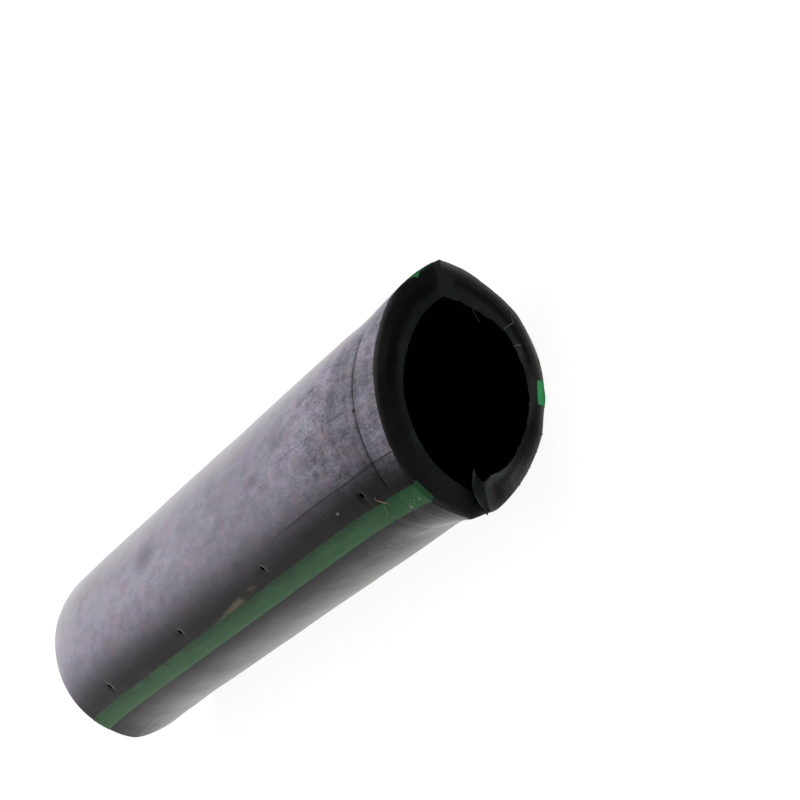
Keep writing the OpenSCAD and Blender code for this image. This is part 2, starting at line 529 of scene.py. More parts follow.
def stations(anchors: Sequence[float], step: float,
             dense: Sequence[tuple[float, float, float]] = ()) -> list[float]:
    """Spreads stations between anchors, closer together where the shape is fine.

    Args:
        anchors: Stations that are kept, in rising order.
        step: The usual step.
        dense: Spots of (centre, half width, step) with a finer one.

    Returns:
        All stations, in rising order.
    """
    found = [anchors[0]]
    for start, end in zip(anchors, anchors[1:]):
        run, here = [], start
        while here < end - 1e-9:
            run.append(here)
            here += min([step, *(fine for at, half, fine in dense if abs(here - at) <= half)])
        share = (end - start) / (here - start)
        found += [start + (at - start) * share for at in run[1:]] + [end]
    return found


def closed_net(name: str, rows: int, columns: int, point: Callable[[int, int], Point]) -> bpy.types.Mesh:
    """A closed net whose rows and columns both run round.

    Args:
        name: The mesh's name.
        rows: How many rows it has, round the wall's section.
        columns: How many columns it has, round the hose.
        point: Gives the point of a row and a column.

    Returns:
        The mesh.
    """
    mesh = bpy.data.meshes.new(name)
    points = [point(row, column) for row in range(rows) for column in range(columns)]
    faces = []
    for row in range(rows):
        for column in range(columns):
            right, down = (column + 1) % columns, (row + 1) % rows
            faces.append((row * columns + column, row * columns + right,
                          down * columns + right, down * columns + column))
    mesh.from_pydata(points, [], faces)
    return mesh


def formed(name: str, net: bpy.types.Mesh, group: Group, settings: dict[str, object],
           sharp: float = 34.0) -> bpy.types.Object:
    """Runs a geometry tree on a net and keeps the result as a plain mesh.

    Args:
        name: The finished object's name.
        net: The mesh that goes in.
        group: The geometry tree.
        settings: Values for its inputs, by their names.
        sharp: The angle in degrees past which an edge is crisp.

    Returns:
        The object, with no modifier left on it.
    """
    piece = bpy.data.objects.new(name, net)
    bpy.context.scene.collection.objects.link(piece)
    live = piece.modifiers.new("form", "NODES")
    live.node_group = group.tree
    for label, value in settings.items():
        live[group.keys[label]] = value
    graph = bpy.context.evaluated_depsgraph_get()
    mesh = bpy.data.meshes.new_from_object(piece.evaluated_get(graph), preserve_all_data_layers=True,
                                           depsgraph=graph)
    piece.modifiers.remove(live)
    piece.data = mesh
    mesh.name = name
    mesh.shade_smooth()
    mesh.set_sharp_from_angle(angle=math.radians(sharp))
    return piece


def seat(piece: bpy.types.Object, slot: str, *nodes: str) -> None:
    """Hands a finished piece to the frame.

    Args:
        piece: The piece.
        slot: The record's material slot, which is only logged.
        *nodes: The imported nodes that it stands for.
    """
    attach(piece, "root")
    if nodes:
        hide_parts(*nodes)
    log.info("%s: %d faces, slot %s, stands for %s", piece.name, len(piece.data.polygons), slot,
             ", ".join(nodes) or "no packed node")


# ---------------------------------------------------------------------------------------------- finishes


class Effects:
    """The surface effects that the finishes share, each one a group."""

    def __init__(self) -> None:
        """Builds the groups."""
        self.where = self._where()
        self.spot = self._spot()
        self.grain = self._grain()
        self.scuffs = self._scuffs()
        self.specks = self._specks()

    @staticmethod
    def _where() -> Group:
        """Gives the place on the hose, in millimetres and degrees, and the depth under its outer face.

        Returns:
            The group.
        """
        group = Group("place on the hose", Tree.SHADER, {},
                      {"Along": Socket.NUMBER, "Turn": Socket.NUMBER, "Depth": Socket.NUMBER,
                       "Place": Socket.PLACE})
        w = group.wires
        lay = w.node("ShaderNodeAttribute", attribute_name=LAY)
        along, cos, sin = w.split(w.out(lay, "Vector"))
        turn = w.math("DEGREES", w.math("ARCTAN2", sin, cos))
        group["Along"] = along
        group["Turn"] = turn + (turn < 0.0) * 360.0
        group["Depth"] = w.out(w.node("ShaderNodeAttribute", attribute_name=DEPTH), "Fac")
        group["Place"] = w.place(along, cos * RADIUS_IN_MM, sin * RADIUS_IN_MM)
        return group

    @staticmethod
    def _spot() -> Group:
        """A soft mark at one place, longer along the hose or round it.

        Returns:
            The group.
        """
        group = Group("mark", Tree.SHADER,
                      {"Along": 0.0, "Turn": 0.0, "At": 0.0, "At Turn": 90.0, "Length": 1.0, "Width": 1.0,
                       "Slant": 0.0, "Soft": 0.5},
                      {"Mask": Socket.NUMBER})
        w = group.wires
        run = group["Along"] - group["At"]
        across = (group["Turn"] - group["At Turn"]) * math.radians(RADIUS_IN_MM) - run * group["Slant"]
        run, across = run / group["Length"] * 2.0, across / group["Width"] * 2.0
        away = w.math("SQRT", run * run + across * across)
        node = w.node("ShaderNodeMapRange", interpolation_type="SMOOTHSTEP")
        for socket, value in zip(node.inputs, (away, group["Soft"] + 1.0, 1.0 - group["Soft"], 0.0, 1.0)):
            w.put(socket, value)
        group["Mask"] = w.out(node)
        return group

    @staticmethod
    def _grain() -> Group:
        """The fine mottled grain of extruded plastic.

        Returns:
            The group.
        """
        group = Group("plastic grain", Tree.SHADER, {"Place": Socket.PLACE, "Fine": 1.0, "Coarse": 1.0},
                      {"Tone": Socket.NUMBER, "Height": Socket.NUMBER})
        w = group.wires
        fine = w.noise(w.stretch(group["Place"], 0.6, 1.0, 1.0), 4.6, 3.0, 0.62) - 0.5
        drawn = w.noise(w.stretch(group["Place"], 0.45, 1.0, 1.0), 1.2, 3.0, 0.6) - 0.5
        group["Tone"] = fine * group["Fine"] + drawn * group["Coarse"]
        group["Height"] = fine * group["Fine"] * 0.6 + drawn * group["Coarse"] * 0.4
        return group

    @staticmethod
    def _scuffs() -> Group:
        """Thin scratches that run along the hose or round it.

        Returns:
            The group.
        """
        group = Group("scuffs", Tree.SHADER, {"Place": Socket.PLACE, "Amount": 0.5},
                      {"Lengthwise": Socket.NUMBER, "Round": Socket.NUMBER})
        w = group.wires
        bent = w.shift(group["Place"], w.place(0.0, w.noise(group["Place"], 0.25, 1.0) * 1.2, 0.0))
        for label, reach, seed in (("Lengthwise", (0.10, 2.4, 2.4), 3.0), ("Round", (3.2, 0.16, 0.16), 11.0)):
            lines = w.noise(w.shift(w.stretch(bent, *reach), (seed, 0.0, 0.0)), 1.0, 2.0, 0.5)
            patches = w.ease(w.noise(w.shift(group["Place"], (seed * 7.0, 0.0, 0.0)), 0.22, 1.0), 0.42, 0.68)
            group[label] = w.ease(lines, 0.58, 0.74) * patches * group["Amount"]
        return group

    @staticmethod
    def _specks() -> Group:
        """Scattered specks of dust.

        Returns:
            The group.
        """
        group = Group("dust specks", Tree.SHADER, {"Place": Socket.PLACE, "Amount": 0.5},
                      {"Mask": Socket.NUMBER})
        w = group.wires
        cell = w.node("ShaderNodeTexVoronoi", feature="F1")
        w.put(cell.inputs["Vector"], group["Place"])
        cell.inputs["Scale"].default_value = 1.1
        kept = w.split(w.out(cell, "Color"))[0] > 0.72
        group["Mask"] = w.ease(w.out(cell, "Distance"), 0.10, 0.03) * kept * group["Amount"]
        return group


class Paint:
    """One material in the making: its tree, its shader and the place on the hose."""

    def __init__(self, name: str, effects: Effects) -> None:
        """Makes the material.

        Args:
            name: Its name.
            effects: The shared effects.
        """
        self.material = bpy.data.materials.new(name)
        self.material.use_nodes = True
        self.wires = Wires(self.material.node_tree)
        self.shader = self.material.node_tree.nodes["Principled BSDF"]
        self.effects = effects
        where = effects.where.lay(self.wires)
        self.along, self.turn, self.depth, self.place = (self.wires.out(where, i) for i in range(4))

    def plain(self, **numbers: float) -> None:
        """Sets plain numbers on the shader, with underscores for the spaces of their names."""
        for label, number in numbers.items():
            self.shader.inputs[label.replace("_", " ")].default_value = number

    def wire(self, label: str, value: "Value | bpy.types.NodeSocket") -> None:
        """Joins a value to one of the shader's inputs."""
        self.wires.put(self.shader.inputs[label], value)

    def mark(self, at: float, turn: float, length: float, width: float, soft: float = 0.5,
             slant: float = 0.0) -> Value:
        """A soft mark.

        Args:
            at: Its place along the hose, in millimetres.
            turn: Its turn round it, in degrees.
            length: How long it is along the hose, in millimetres.
            width: How wide it is round it, in millimetres.
            soft: How soft its edge is, from 0 to 1.
            slant: How far it runs round the hose per millimetre along it.

        Returns:
            The mask.
        """
        node = self.effects.spot.lay(self.wires, Along=self.along, Turn=self.turn, At=at, At_Turn=turn,
                                     Length=length, Width=width, Soft=soft, Slant=slant)
        return self.wires.out(node)

    def bump(self, height: Value, strength: float, distance: float) -> None:
        """Gives the surface a fine relief.

        Args:
            height: Its height, about 0 to 1.
            strength: How strong it is.
            distance: How high 1 is, in metres.
        """
        node = self.wires.node("ShaderNodeBump")
        node.inputs["Strength"].default_value = strength
        node.inputs["Distance"].default_value = distance
        self.wires.put(node.inputs["Height"], height)
        self.wire("Normal", node.outputs[0])


@dataclass(frozen=True)
class Smudge:
    """A dark smudge, nick or fine line on the skin: its place, its size in millimetres and its strength."""

    along: float
    turn: float
    length: float
    width: float
    soft: float
    strength: float


@dataclass(frozen=True)
class SkinFinish:
    """Satin black polyethylene: a pale bloom on top that is partly painted highlight, scuffs, smudges and a
    stain.
    """

    black: Colour = (0.0040, 0.0038, 0.0038)
    bloom_and_highlight: Colour = (0.352, 0.322, 0.412)
    warm_bloom_and_highlight: Colour = (0.374, 0.312, 0.374)
    cool_bloom_and_highlight: Colour = (0.328, 0.328, 0.386)
    grime_and_floor_reflection: Colour = (0.131, 0.137, 0.120)
    flare_highlight: Colour = (0.36, 0.39, 0.355)
    stain: Colour = (0.15, 0.125, 0.07)
    dust: Colour = (0.42, 0.40, 0.37)
    sheen: Colour = (0.80, 0.79, 0.79)
    roughness: float = 0.32
    smudges: tuple[Smudge, ...] = (
        Smudge(-8.1, 81.9, 4.4, 1.8, 0.95, 0.40), Smudge(25.8, 80.0, 2.6, 1.6, 0.9, 0.28),
        Smudge(33.2, 107.0, 0.9, 0.6, 0.8, 0.5), Smudge(32.4, 113.8, 0.8, 0.5, 0.8, 0.5),
        Smudge(35.4, 121.9, 0.35, 0.3, 0.5, 0.6), Smudge(33.6, 69.0, 1.4, 0.5, 0.8, 0.3),
        Smudge(31.2, 72.0, 1.2, 0.5, 0.8, 0.3), Smudge(20.6, 93.0, 3.0, 0.9, 0.9, 0.3),
        Smudge(40.2, 94.4, 0.34, 0.34, 0.5, 0.75), Smudge(28.3, 183.8, 0.8, 0.4, 0.6, 0.5),
        Smudge(37.5, 93.0, 3.8, 0.10, 0.6, 0.5), Smudge(35.75, 97.0, 0.14, 1.3, 0.6, 0.45),
        Smudge(29.5, 94.4, 9.5, 0.10, 0.6, 0.35),
    )

    def material(self, effects: Effects) -> bpy.types.Material:
        """Builds the material.

        Args:
            effects: The shared effects.

        Returns:
            The material.
        """
        p = Paint("satin_black_skin", effects)
        w = p.wires
        crisp = w.ease(p.along, 18.0, 37.0)
        grain = effects.grain.lay(w, Place=p.place, Fine=crisp * 0.85 + 0.40, Coarse=crisp * 0.6 + 0.60)
        tone, height = w.out(grain, 0), w.out(grain, 1)
        scuffs = effects.scuffs.lay(w, Place=p.place, Amount=1.0)
        lengthwise, around = w.out(scuffs, 0), w.out(scuffs, 1)
        colour = self._underside(p, tone, lengthwise)
        # The pale top is partly real bloom and partly a painted highlight from the light above.
        bloom_and_highlight = self._bloom_and_highlight(p, tone, lengthwise, around)
        drawn = w.stretch(p.place, 0.5, 1.0, 1.0)
        warm, cool = (w.ease(w.noise(w.shift(drawn, (seed, 0.0, 0.0)), scale, 2.0, 0.6), 0.42, 0.66)
                      for seed, scale in ((31.0, 0.75), (47.0, 0.55)))
        tinted = w.blend(cool, w.blend(warm, self.bloom_and_highlight, self.warm_bloom_and_highlight), self.cool_bloom_and_highlight)
        colour = w.blend(bloom_and_highlight, colour, tinted)
        colour = self._smudges(p, colour)
        # Painted shade, with some dirt, along the score ring and the seam.
        groove_shade = w.out(w.node("ShaderNodeAttribute", attribute_name=GROOVE_SHADE), "Fac")
        colour = w.blend(groove_shade * 0.9, colour, self.black)
        specks = w.out(effects.specks.lay(w, Place=p.place, Amount=0.55))
        bright = p.mark(31.2, 137.8, 0.40, 0.22, 0.9) * 0.38 + p.mark(29.7, 135.7, 0.25, 0.16, 0.8) * 0.08
        colour = w.blend(w.clamp(specks * 0.4 + bright), colour, self.dust)
        # Painted sheen: the colour is lightened towards the silhouettes, less so low down by the mouth.
        facing = w.out(w.node("ShaderNodeLayerWeight"), "Facing")
        duller = w.ease(p.along, 8.0, 34.0) * w.ease(p.turn, 150.0, 180.0) * 0.18
        grazing_sheen = w.ease(facing, 0.70, 1.0) * (0.55 - duller)
        colour = w.blend(grazing_sheen * (1.0 - groove_shade), colour, self.sheen)
        p.wire("Base Color", colour)
        p.wire("Roughness", w.clamp(bloom_and_highlight * 0.14 + self.roughness + tone * 0.12))
        p.plain(Specular_IOR_Level=0.028)
        p.bump(height + lengthwise * 0.3 + around * 0.35, 0.6, 0.035 * MM)
        return p.material

    @staticmethod
    def _bloom_and_highlight(p: Paint, tone: Value, lengthwise: Value, around: Value) -> Value:
        """How much bloom there is, partly a painted highlight: most on top, less by the mouth, little under
        the seam.

        Args:
            p: The material's tree.
            tone: The grain's tone.
            lengthwise: The scuffs along the hose.
            around: The scuffs round it.

        Returns:
            The share of bloom and painted highlight.
        """
        w = p.wires
        far = w.ease(p.along, 22.0, -22.0)
        top = w.ease(p.turn, 12.0, 45.0) * w.ease(p.turn + far * 3.2, 144.0, 92.0)
        seam = 127.0 - w.ease(p.along, 34.0, 43.5) * 3.2
        strip = w.ease(p.along, 40.1, 40.6)
        # Painted shade: less of the pale top under the seam.
        below = w.ease(p.turn - seam, -0.4, 0.6) * w.ease(p.along, 14.0, 26.0) * (1.0 - strip * 0.75)
        below = below * (w.ease(p.turn, 128.0, 141.0) * 0.62 + 0.22)
        thin = w.bell(p.along, 38.9, 2.6) * 0.34 + w.ease(p.along, 33.0, 42.0) * 0.12
        thin = thin * w.ease(p.turn, 58.0, 88.0)
        bands = w.noise(w.stretch(p.place, 1.0, 0.10, 0.10), 1.1, 2.0, 0.6) - 0.5
        bands = bands * w.ease(p.along, 30.0, 38.0)
        pinch = w.window(p.along, 31.0, 37.5, 2.0)
        turned = 1.0 + pinch * (w.bell(p.turn, 59.0, 9.0) * 0.26 - w.bell(p.turn, 104.0, 9.0) * 0.20)
        # A painted highlight on the strip between the score ring and the rim.
        end = strip * w.ease(p.turn, 104.0, 124.0) * 0.34
        away = far * w.ease(p.turn, 66.0, 92.0) * 0.35 - strip * w.window(p.turn, 66.0, 100.0, 8.0) * 0.18
        mottle = w.noise(w.stretch(p.place, 0.35, 1.0, 1.0), 0.42, 2.0, 0.5) - 0.5
        amount = top * (1.0 - below) * (1.0 - thin) * (bands * 0.8 + 1.0) * turned * (end + 1.0) * \
            (w.bell(p.turn, 118.0, 11.0) * 0.22 + 1.0) * (away + 1.0)
        amount = amount * (mottle * 0.42 + 1.0)
        return w.clamp(amount * (tone * 1.35 + 1.0) * 0.75 + (lengthwise * 0.10 - around * 0.14) * top)

    def _underside(self, p: Paint, tone: Value, lengthwise: Value) -> Value:
        """The black skin: dirt and painted floor reflection underneath; a rubbed patch, painted highlight and
        shade by the mouth.

        Args:
            p: The material's tree.
            tone: The grain's tone.
            lengthwise: The scuffs along the hose.

        Returns:
            The colour.
        """
        w = p.wires
        # Paler underneath: dirt, and a painted reflection of the white floor.
        low = w.ease(p.turn, 157.0, 184.0) * w.ease(p.turn, 345.0, 300.0)
        low = low * (1.0 - w.window(p.turn, 180.0, 215.0, 7.0) * 0.20)
        shade = p.mark(40.9, 166.0, 7.0, 3.1, 0.6)
        by_mouth = w.ease(p.along, 29.0, 36.0) * w.ease(p.turn, 350.0, 340.0)
        drawn = w.noise(w.stretch(p.place, 0.10, 1.5, 1.5), 1.4, 3.0, 0.62) - 0.5
        patchy = w.noise(w.stretch(p.place, 0.4, 1.0, 1.0), 0.5, 2.0, 0.55) - 0.5
        uneven = 1.0 + tone * 2.6 + lengthwise * 0.3 + drawn * (1.3 + by_mouth * 1.2) + patchy * 1.3
        colour = w.blend(w.clamp(low * 0.8 * uneven * (1.0 - shade * 0.85) * (1.0 - by_mouth * 0.22)),
                         self.black, self.grime_and_floor_reflection)
        # A painted highlight in streaks, low down by the mouth; the mark beside it is painted shade.
        streaks = w.ease(w.noise(w.stretch(p.place, 0.30, 1.5, 1.5), 1.5, 2.0, 0.6), 0.36, 0.62)
        flare_highlight = p.mark(39.2, 184.5, 8.0, 2.3, 0.8, 0.06) * (streaks * 0.5 + 0.42)
        return w.blend(shade * 0.6, w.blend(flare_highlight * 0.66, colour, self.flare_highlight), self.black)

    def _smudges(self, p: Paint, colour: Value) -> Value:
        """The smudges, nicks and fine dark lines on top, and the dried stain along the stripe.

        Args:
            p: The material's tree.
            colour: The colour that they lie on.

        Returns:
            The colour with them.
        """
        w = p.wires
        for mark in self.smudges:
            mask = p.mark(mark.along, mark.turn, mark.length, mark.width, mark.soft)
            colour = w.blend(mask * mark.strength, colour, self.black)
        stained = w.ease(w.noise(w.stretch(p.place, 0.4, 1.0, 1.0), 1.3, 2.0), 0.30, 0.62)
        yellow = p.mark(4.6, 144.4, 10.0, 0.50, 0.95, -0.061) * stained
        return w.blend(w.clamp(yellow * 0.7), colour, self.stain)


@dataclass(frozen=True)
class Gleam:
    """A painted highlight on the cut: where it is, and what it adds to the rim, the skin, the bond and the
    tube.
    """

    turn: float
    half: float
    rim: float = 0.0
    skin: float = 0.0
    bond: float = 0.0
    tube: float = 0.0


@dataclass(frozen=True)
class CutFinish:
    """Dull black polyethylene where the knife went through, and the bore behind it, with painted light and
    shade.
    """

    warm: Colour = (0.99, 1.01, 0.98)
    cool: Colour = (0.95, 1.03, 1.00)
    stain: Colour = (0.16, 0.12, 0.06)
    # The bore's colour is painted shade inside the hose.
    bore: Colour = (0.0006, 0.0006, 0.0006)
    roughness: float = 0.50
    # A painted highlight on the flat crest of the cut.
    lit_facet: float = 0.0195
    gleams: tuple[Gleam, ...] = (
        Gleam(0.0, 8.0, rim=0.016, skin=0.002, bond=0.005, tube=0.003),
        Gleam(66.0, 15.0, skin=0.004, tube=0.005),
        Gleam(126.0, 9.0, tube=0.008),
        Gleam(166.0, 14.0, skin=0.0045, bond=0.002, tube=0.002),
        Gleam(196.5, 6.0, rim=0.020, skin=0.045, bond=0.036, tube=0.040),
        Gleam(207.0, 9.0, rim=0.012, bond=0.015, tube=0.044),
        Gleam(219.0, 9.0, skin=0.056, bond=0.022, tube=0.032),
        Gleam(234.0, 12.0, skin=0.012, bond=0.007, tube=0.006),
        Gleam(267.0, 12.0, tube=0.024),
        Gleam(272.0, 12.0, skin=0.024, bond=0.034),
        Gleam(278.0, 26.0, rim=0.21),
        Gleam(295.0, 13.0, rim=0.20, skin=0.020),
        Gleam(298.0, 10.0, tube=0.026),
        Gleam(352.0, 9.0, rim=0.018, skin=0.003, bond=0.005, tube=0.002),
    )

    def material(self, effects: Effects) -> bpy.types.Material:
        """Builds the material.

        Args:
            effects: The shared effects.

        Returns:
            The material.
        """
        p = Paint("dull_black_cut", effects)
        w = p.wires
        inward = w.shift(p.place, w.place(p.depth * 2.2, 0.0, 0.0))
        grain = effects.grain.lay(w, Place=inward, Fine=0.8, Coarse=0.8)
        tone, height = w.out(grain, 0), w.out(grain, 1)
        drift = w.noise(w.stretch(p.place, 0.0, 1.0, 1.0), 0.42, 2.0) - 0.5
        layer = p.depth + drift * w.ease(p.depth, 0.2, 0.7) * 0.3
        # The bands' tones are painted light and shade, paler where the cut faces the light.
        rim, skin, bond, tube = self._bands(p)
        pale = w.between(w.ease(layer, 0.80, 1.0), skin, bond)
        shift = w.window(p.turn, 60.0, 130.0, 12.0) * -0.14 + \
            (w.window(p.turn, 312.0, 352.0, 8.0) + w.bell(p.turn, 256.0, 8.0)) * 0.17
        pale = w.between(w.ease(layer + shift, 1.22, 1.70), pale, tube)
        # A painted highlight on the flat crest of the cut.
        lit_facet = w.ease(p.turn, 352.0, 354.0) + w.ease(p.turn, 4.0, 2.6)
        pale = w.between(lit_facet, pale, self.lit_facet)
        # A painted highlight along the outer rim.
        pale = pale + w.bell(layer, 0.0, w.ease(p.turn, 190.0, 235.0) * 0.11 + 0.23) * rim
        pale = pale * (tone * 0.9 + 1.0)
        tint = w.blend(w.ease(p.depth, 1.2, 1.7), self.warm, self.cool)
        colour = w.node("ShaderNodeVectorMath", operation="SCALE")
        w.put(colour.inputs[0], tint)
        w.put(colour.inputs["Scale"], pale)
        spot = w.bell(p.turn, 288.0, 1.7) * w.bell(p.depth, 0.15, 0.22)
        colour = w.blend(spot * 0.8, w.out(colour), self.stain)
        # The bore is painted nearly black, as painted shade inside the hose.
        inside = w.math("MAXIMUM", w.ease(p.depth, 1.93, 1.985), w.ease(abs(p.along), 42.6, 42.2))
        p.wire("Base Color", w.blend(inside, colour, self.bore))
        p.wire("Roughness", w.clamp(tone * 0.2 + self.roughness + inside * 0.2))
        p.plain(Specular_IOR_Level=0.008)
        p.bump(height, 0.6, 0.05 * MM)
        return p.material

    def _bands(self, p: Paint) -> tuple[Value, Value, Value, Value]:
        """How pale each band of the cut is, by the turn round the mouth: painted light and shade.

        Args:
            p: The material's tree.

        Returns:
            The tones at the rim, in the skin, at the bond and in the tube.
        """
        w = p.wires
        # A painted highlight along the rim.
        rim = w.ease(p.turn, 26.0, 40.0) * w.ease(p.turn, 130.0, 56.0) * 0.052 + \
            w.ease(p.turn, 145.0, 170.0) * w.ease(p.turn, 214.0, 206.0) * 0.020 + \
            w.window(p.turn, 221.0, 362.0, 9.0) * 0.105 + 0.008
        skin = w.ease(p.turn, 90.0, 130.0) * 0.003 + w.ease(p.turn, 235.0, 250.0) * 0.005 + 0.007
        bond = w.ease(p.turn, 70.0, 150.0) * w.ease(p.turn, 190.0, 170.0) * 0.0075 + \
            w.window(p.turn, 230.0, 309.0, 9.0) * 0.004 + 0.0042
        tube = w.ease(p.turn, 240.0, 252.0) * 0.004 - w.bell(p.turn, 180.0, 6.0) * 0.007 + 0.0122
        bands = [rim, skin, bond, tube]
        # The gleams add painted highlights.
        for gleam in self.gleams:
            shine = w.bell(p.turn, gleam.turn, gleam.half)
            for i, amount in enumerate((gleam.rim, gleam.skin, gleam.bond, gleam.tube)):
                if amount:
                    bands[i] = bands[i] + shine * amount
        return tuple(bands)


@dataclass(frozen=True)
class StripeFinish:
    """Green polyethylene, let into the skin, brighter where it is cut."""

    dark: Colour = (0.0100, 0.0380, 0.0155)
    green: Colour = (0.0262, 0.0930, 0.0340)
    pale: Colour = (0.074, 0.165, 0.077)
    black: Colour = (0.0040, 0.0060, 0.0045)
    deep: Colour = (0.0020, 0.0500, 0.0120)
    cut: Colour = (0.065, 0.600, 0.190)
    dull_cut: Colour = (0.022, 0.070, 0.034)
    thin_cut: Colour = (0.024, 0.180, 0.068)
    dust: Colour = (0.45, 0.47, 0.40)
    roughness: float = 0.45

    def material(self, effects: Effects) -> bpy.types.Material:
        """Builds the material.

        Args:
            effects: The shared effects.

        Returns:
            The material.
        """
        p = Paint("green_stripe", effects)
        w = p.wires
        grain = effects.grain.lay(w, Place=p.place, Fine=1.0, Coarse=1.0)
        tone, height = w.out(grain, 0), w.out(grain, 1)
        scuffs = effects.scuffs.lay(w, Place=p.place, Amount=1.0)
        patchy = w.noise(w.stretch(p.place, 0.35, 1.0, 1.0), 0.5, 2.0) - 0.5
        strip = w.ease(p.along, 39.9, 40.6)
        side = w.ease(p.turn + strip * 2.0 + patchy * 3.0, 146.5, 154.5) + w.ease(p.turn, 172.0, 180.0)
        colour = w.blend(w.clamp(side + tone * 0.8), self.dark, self.green)
        # Paler with the grain, patches and scuffs, along the lower side and towards the far end.
        lower_edge = w.ease(p.turn, 155.0, 160.5) * w.ease(p.turn, 172.0, 165.0) * (1.0 - strip * 0.5)
        paler_share = w.clamp(tone * 0.6 + patchy * 0.3 + lower_edge * 0.5 + w.out(scuffs, 0) * 0.2 +
                       w.ease(p.along, 22.0, -25.0) * 0.16)
        colour = w.blend(paler_share, colour, self.pale)
        colour = w.blend(w.ease(p.along, 30.0, 37.5) * 0.45, colour, self.deep)
        # Painted shade, with some dirt, along the score ring.
        groove_shade = w.out(w.node("ShaderNodeAttribute", attribute_name=GROOVE_SHADE), "Fac")
        colour = w.blend(groove_shade * 0.45, colour, self.black)
        specks = w.out(effects.specks.lay(w, Place=p.place, Amount=0.5))
        rim_specks = w.bell(p.turn, 155.6, 2.2) * w.window(p.along, 39.8, 42.6, 0.3) * \
            w.ease(w.noise(p.place, 4.5, 1.0), 0.62, 0.72)
        spots = p.mark(42.0, 155.5, 0.45, 0.18, 0.7) * 0.8 + p.mark(39.8, 157.5, 0.6, 0.22, 0.7) + \
            p.mark(41.3, 154.6, 0.35, 0.15, 0.5) * 0.5 + p.mark(40.2, 155.3, 0.35, 0.15, 0.5) * 0.5
        colour = w.blend(w.clamp(specks * 0.5 + rim_specks * 0.33 + spots * 0.26), colour, self.dust)
        cut = w.blend(w.window(p.turn, 140.0, 166.0, 3.0), self.cut, self.dull_cut)
        cut = w.blend(w.window(p.turn, -2.0, 24.0, 1.0), cut, self.thin_cut)
        colour = w.blend(w.ease(p.depth, 0.03, 0.08), colour, cut)
        p.wire("Base Color", colour)
        p.wire("Roughness", w.clamp(tone * 0.12 + self.roughness))
        p.plain(Specular_IOR_Level=0.045)
        p.bump(height, 0.5, 0.03 * MM)
        return p.material


@dataclass(frozen=True)
class FlapFinish:
    """Thin torn polyethylene, with painted highlights along its fold and its free edge."""

    body: Colour = (0.0062, 0.0070, 0.0068)
    # The colour of the painted highlights along the fold and the free edge.
    edge: Colour = (0.072, 0.082, 0.084)
    roughness: float = 0.45

    def material(self, effects: Effects) -> bpy.types.Material:
        """Builds the material.

        Args:
            effects: The shared effects.

        Returns:
            The material.
        """
        p = Paint("torn_plastic", effects)
        w = p.wires
        grain = effects.grain.lay(w, Place=p.place, Fine=0.8, Coarse=1.0)
        # Painted highlights along the fold and the free edge.
        edge = w.out(w.node("ShaderNodeAttribute", attribute_name="edge"), "Fac")
        pale = w.clamp(edge * (w.out(grain, 0) * 3.0 + 0.62) + w.out(grain, 0) * 0.2)
        p.wire("Base Color", w.blend(pale, self.body, self.edge))
        p.plain(Roughness=self.roughness, Specular_IOR_Level=0.04)
        p.bump(w.out(grain, 1), 0.6, 0.04 * MM)
        return p.material


@dataclass(frozen=True)
class LintFinish:
    """A fibre of lint that clings to the skin."""

    name: str
    colour: Colour

    def material(self, effects: Effects) -> bpy.types.Material:
        """Builds the material.

        Args:
            effects: The shared effects.

        Returns:
            The material.
        """
        p = Paint(self.name, effects)
        w = p.wires
        uneven = w.noise(p.place, 2.5, 1.0)
        dark = tuple(0.45 * c for c in self.colour)
        p.wire("Base Color", w.blend(w.ease(uneven, 0.35, 0.65), dark, self.colour))
        p.plain(Roughness=0.7, Specular_IOR_Level=0.2)
        return p.material


# ------------------------------------------------------------------------------------------------ pieces


class StripePlace(Enum):
    """The three stripes: the turn of each, and how deep it goes at the cut, in millimetres."""

    FRONT = (153.0, 0.38)
    BACK = (11.0, 0.30)
    BOTTOM = (271.0, 0.80)


@dataclass
class Stripe:
    """One green stripe, let into a groove of the skin."""

    hose: Hose
    place: StripePlace
    edge: float = 0.1

    @property
    def half(self) -> float:
        """Half its width, in degrees round the hose."""
        return math.degrees(self.hose.stripe_width / 2.0 / self.hose.radius)

    @property
    def turn(self) -> float:
        """The turn of its middle, in degrees."""
        return self.place.value[0]

    def depth_at(self, turn: float) -> float:
        """How deep it goes at a turn.

        Args:
            turn: The turn round the hose, in degrees.

        Returns:
            The depth. The back stripe is a sliver with one thick edge, and the others are rounded off.
        """
        share = (turn - self.turn) / self.half
        if self.place is StripePlace.BACK:
            shape = 0.30 + 0.10 * share + 0.84 * math.exp(-((share - 0.46) / 0.20) ** 2)
        else:
            shape = 1.0 - 0.16 * share ** 4
        return self.place.value[1] * shape * MM

    def name(self) -> str:
        """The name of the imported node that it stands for."""
        return f"{self.place.name.lower()}_stripe"

    def build(self, layer: Group, settings: dict[str, object], rows: Sequence[float]) -> None:
        """Makes the stripe and seats it.

        Args:
            layer: The geometry tree of the hose's layers.
            settings: Values for the tree's inputs.
            rows: The stations along the hose.
        """
        low, high = self.turn - self.half, self.turn + self.half
        top = stations([low - self.edge, high + self.edge], 1.2)
        ring = [(turn, 0.0) for turn in top]
        ring += [(turn, self.depth_at(turn))
                 for turn in reversed(stations([low + self.edge, high - self.edge], 1.2))]
        name = self.name()
        mesh = bpy.data.meshes.new(name)
        radius, count = self.hose.radius, len(ring)
        points = [straight(along, turn, depth, radius) for along in rows for turn, depth in ring]
        faces = [(r * count + i, (r + 1) * count + i, (r + 1) * count + (i + 1) % count,
                  r * count + (i + 1) % count) for r in range(len(rows) - 1) for i in range(count)]
        half = count // 2
        for row, outward in ((0, False), (len(rows) - 1, True)):
            start = row * count
            for i in range(half - 1):
                quad = (start + i, start + i + 1, start + count - 2 - i, start + count - 1 - i)
                faces.append(quad if outward else quad[::-1])
        mesh.from_pydata(points, [], faces)
        seat(formed(f"green_{name}", mesh, layer, settings), "stripe", name)


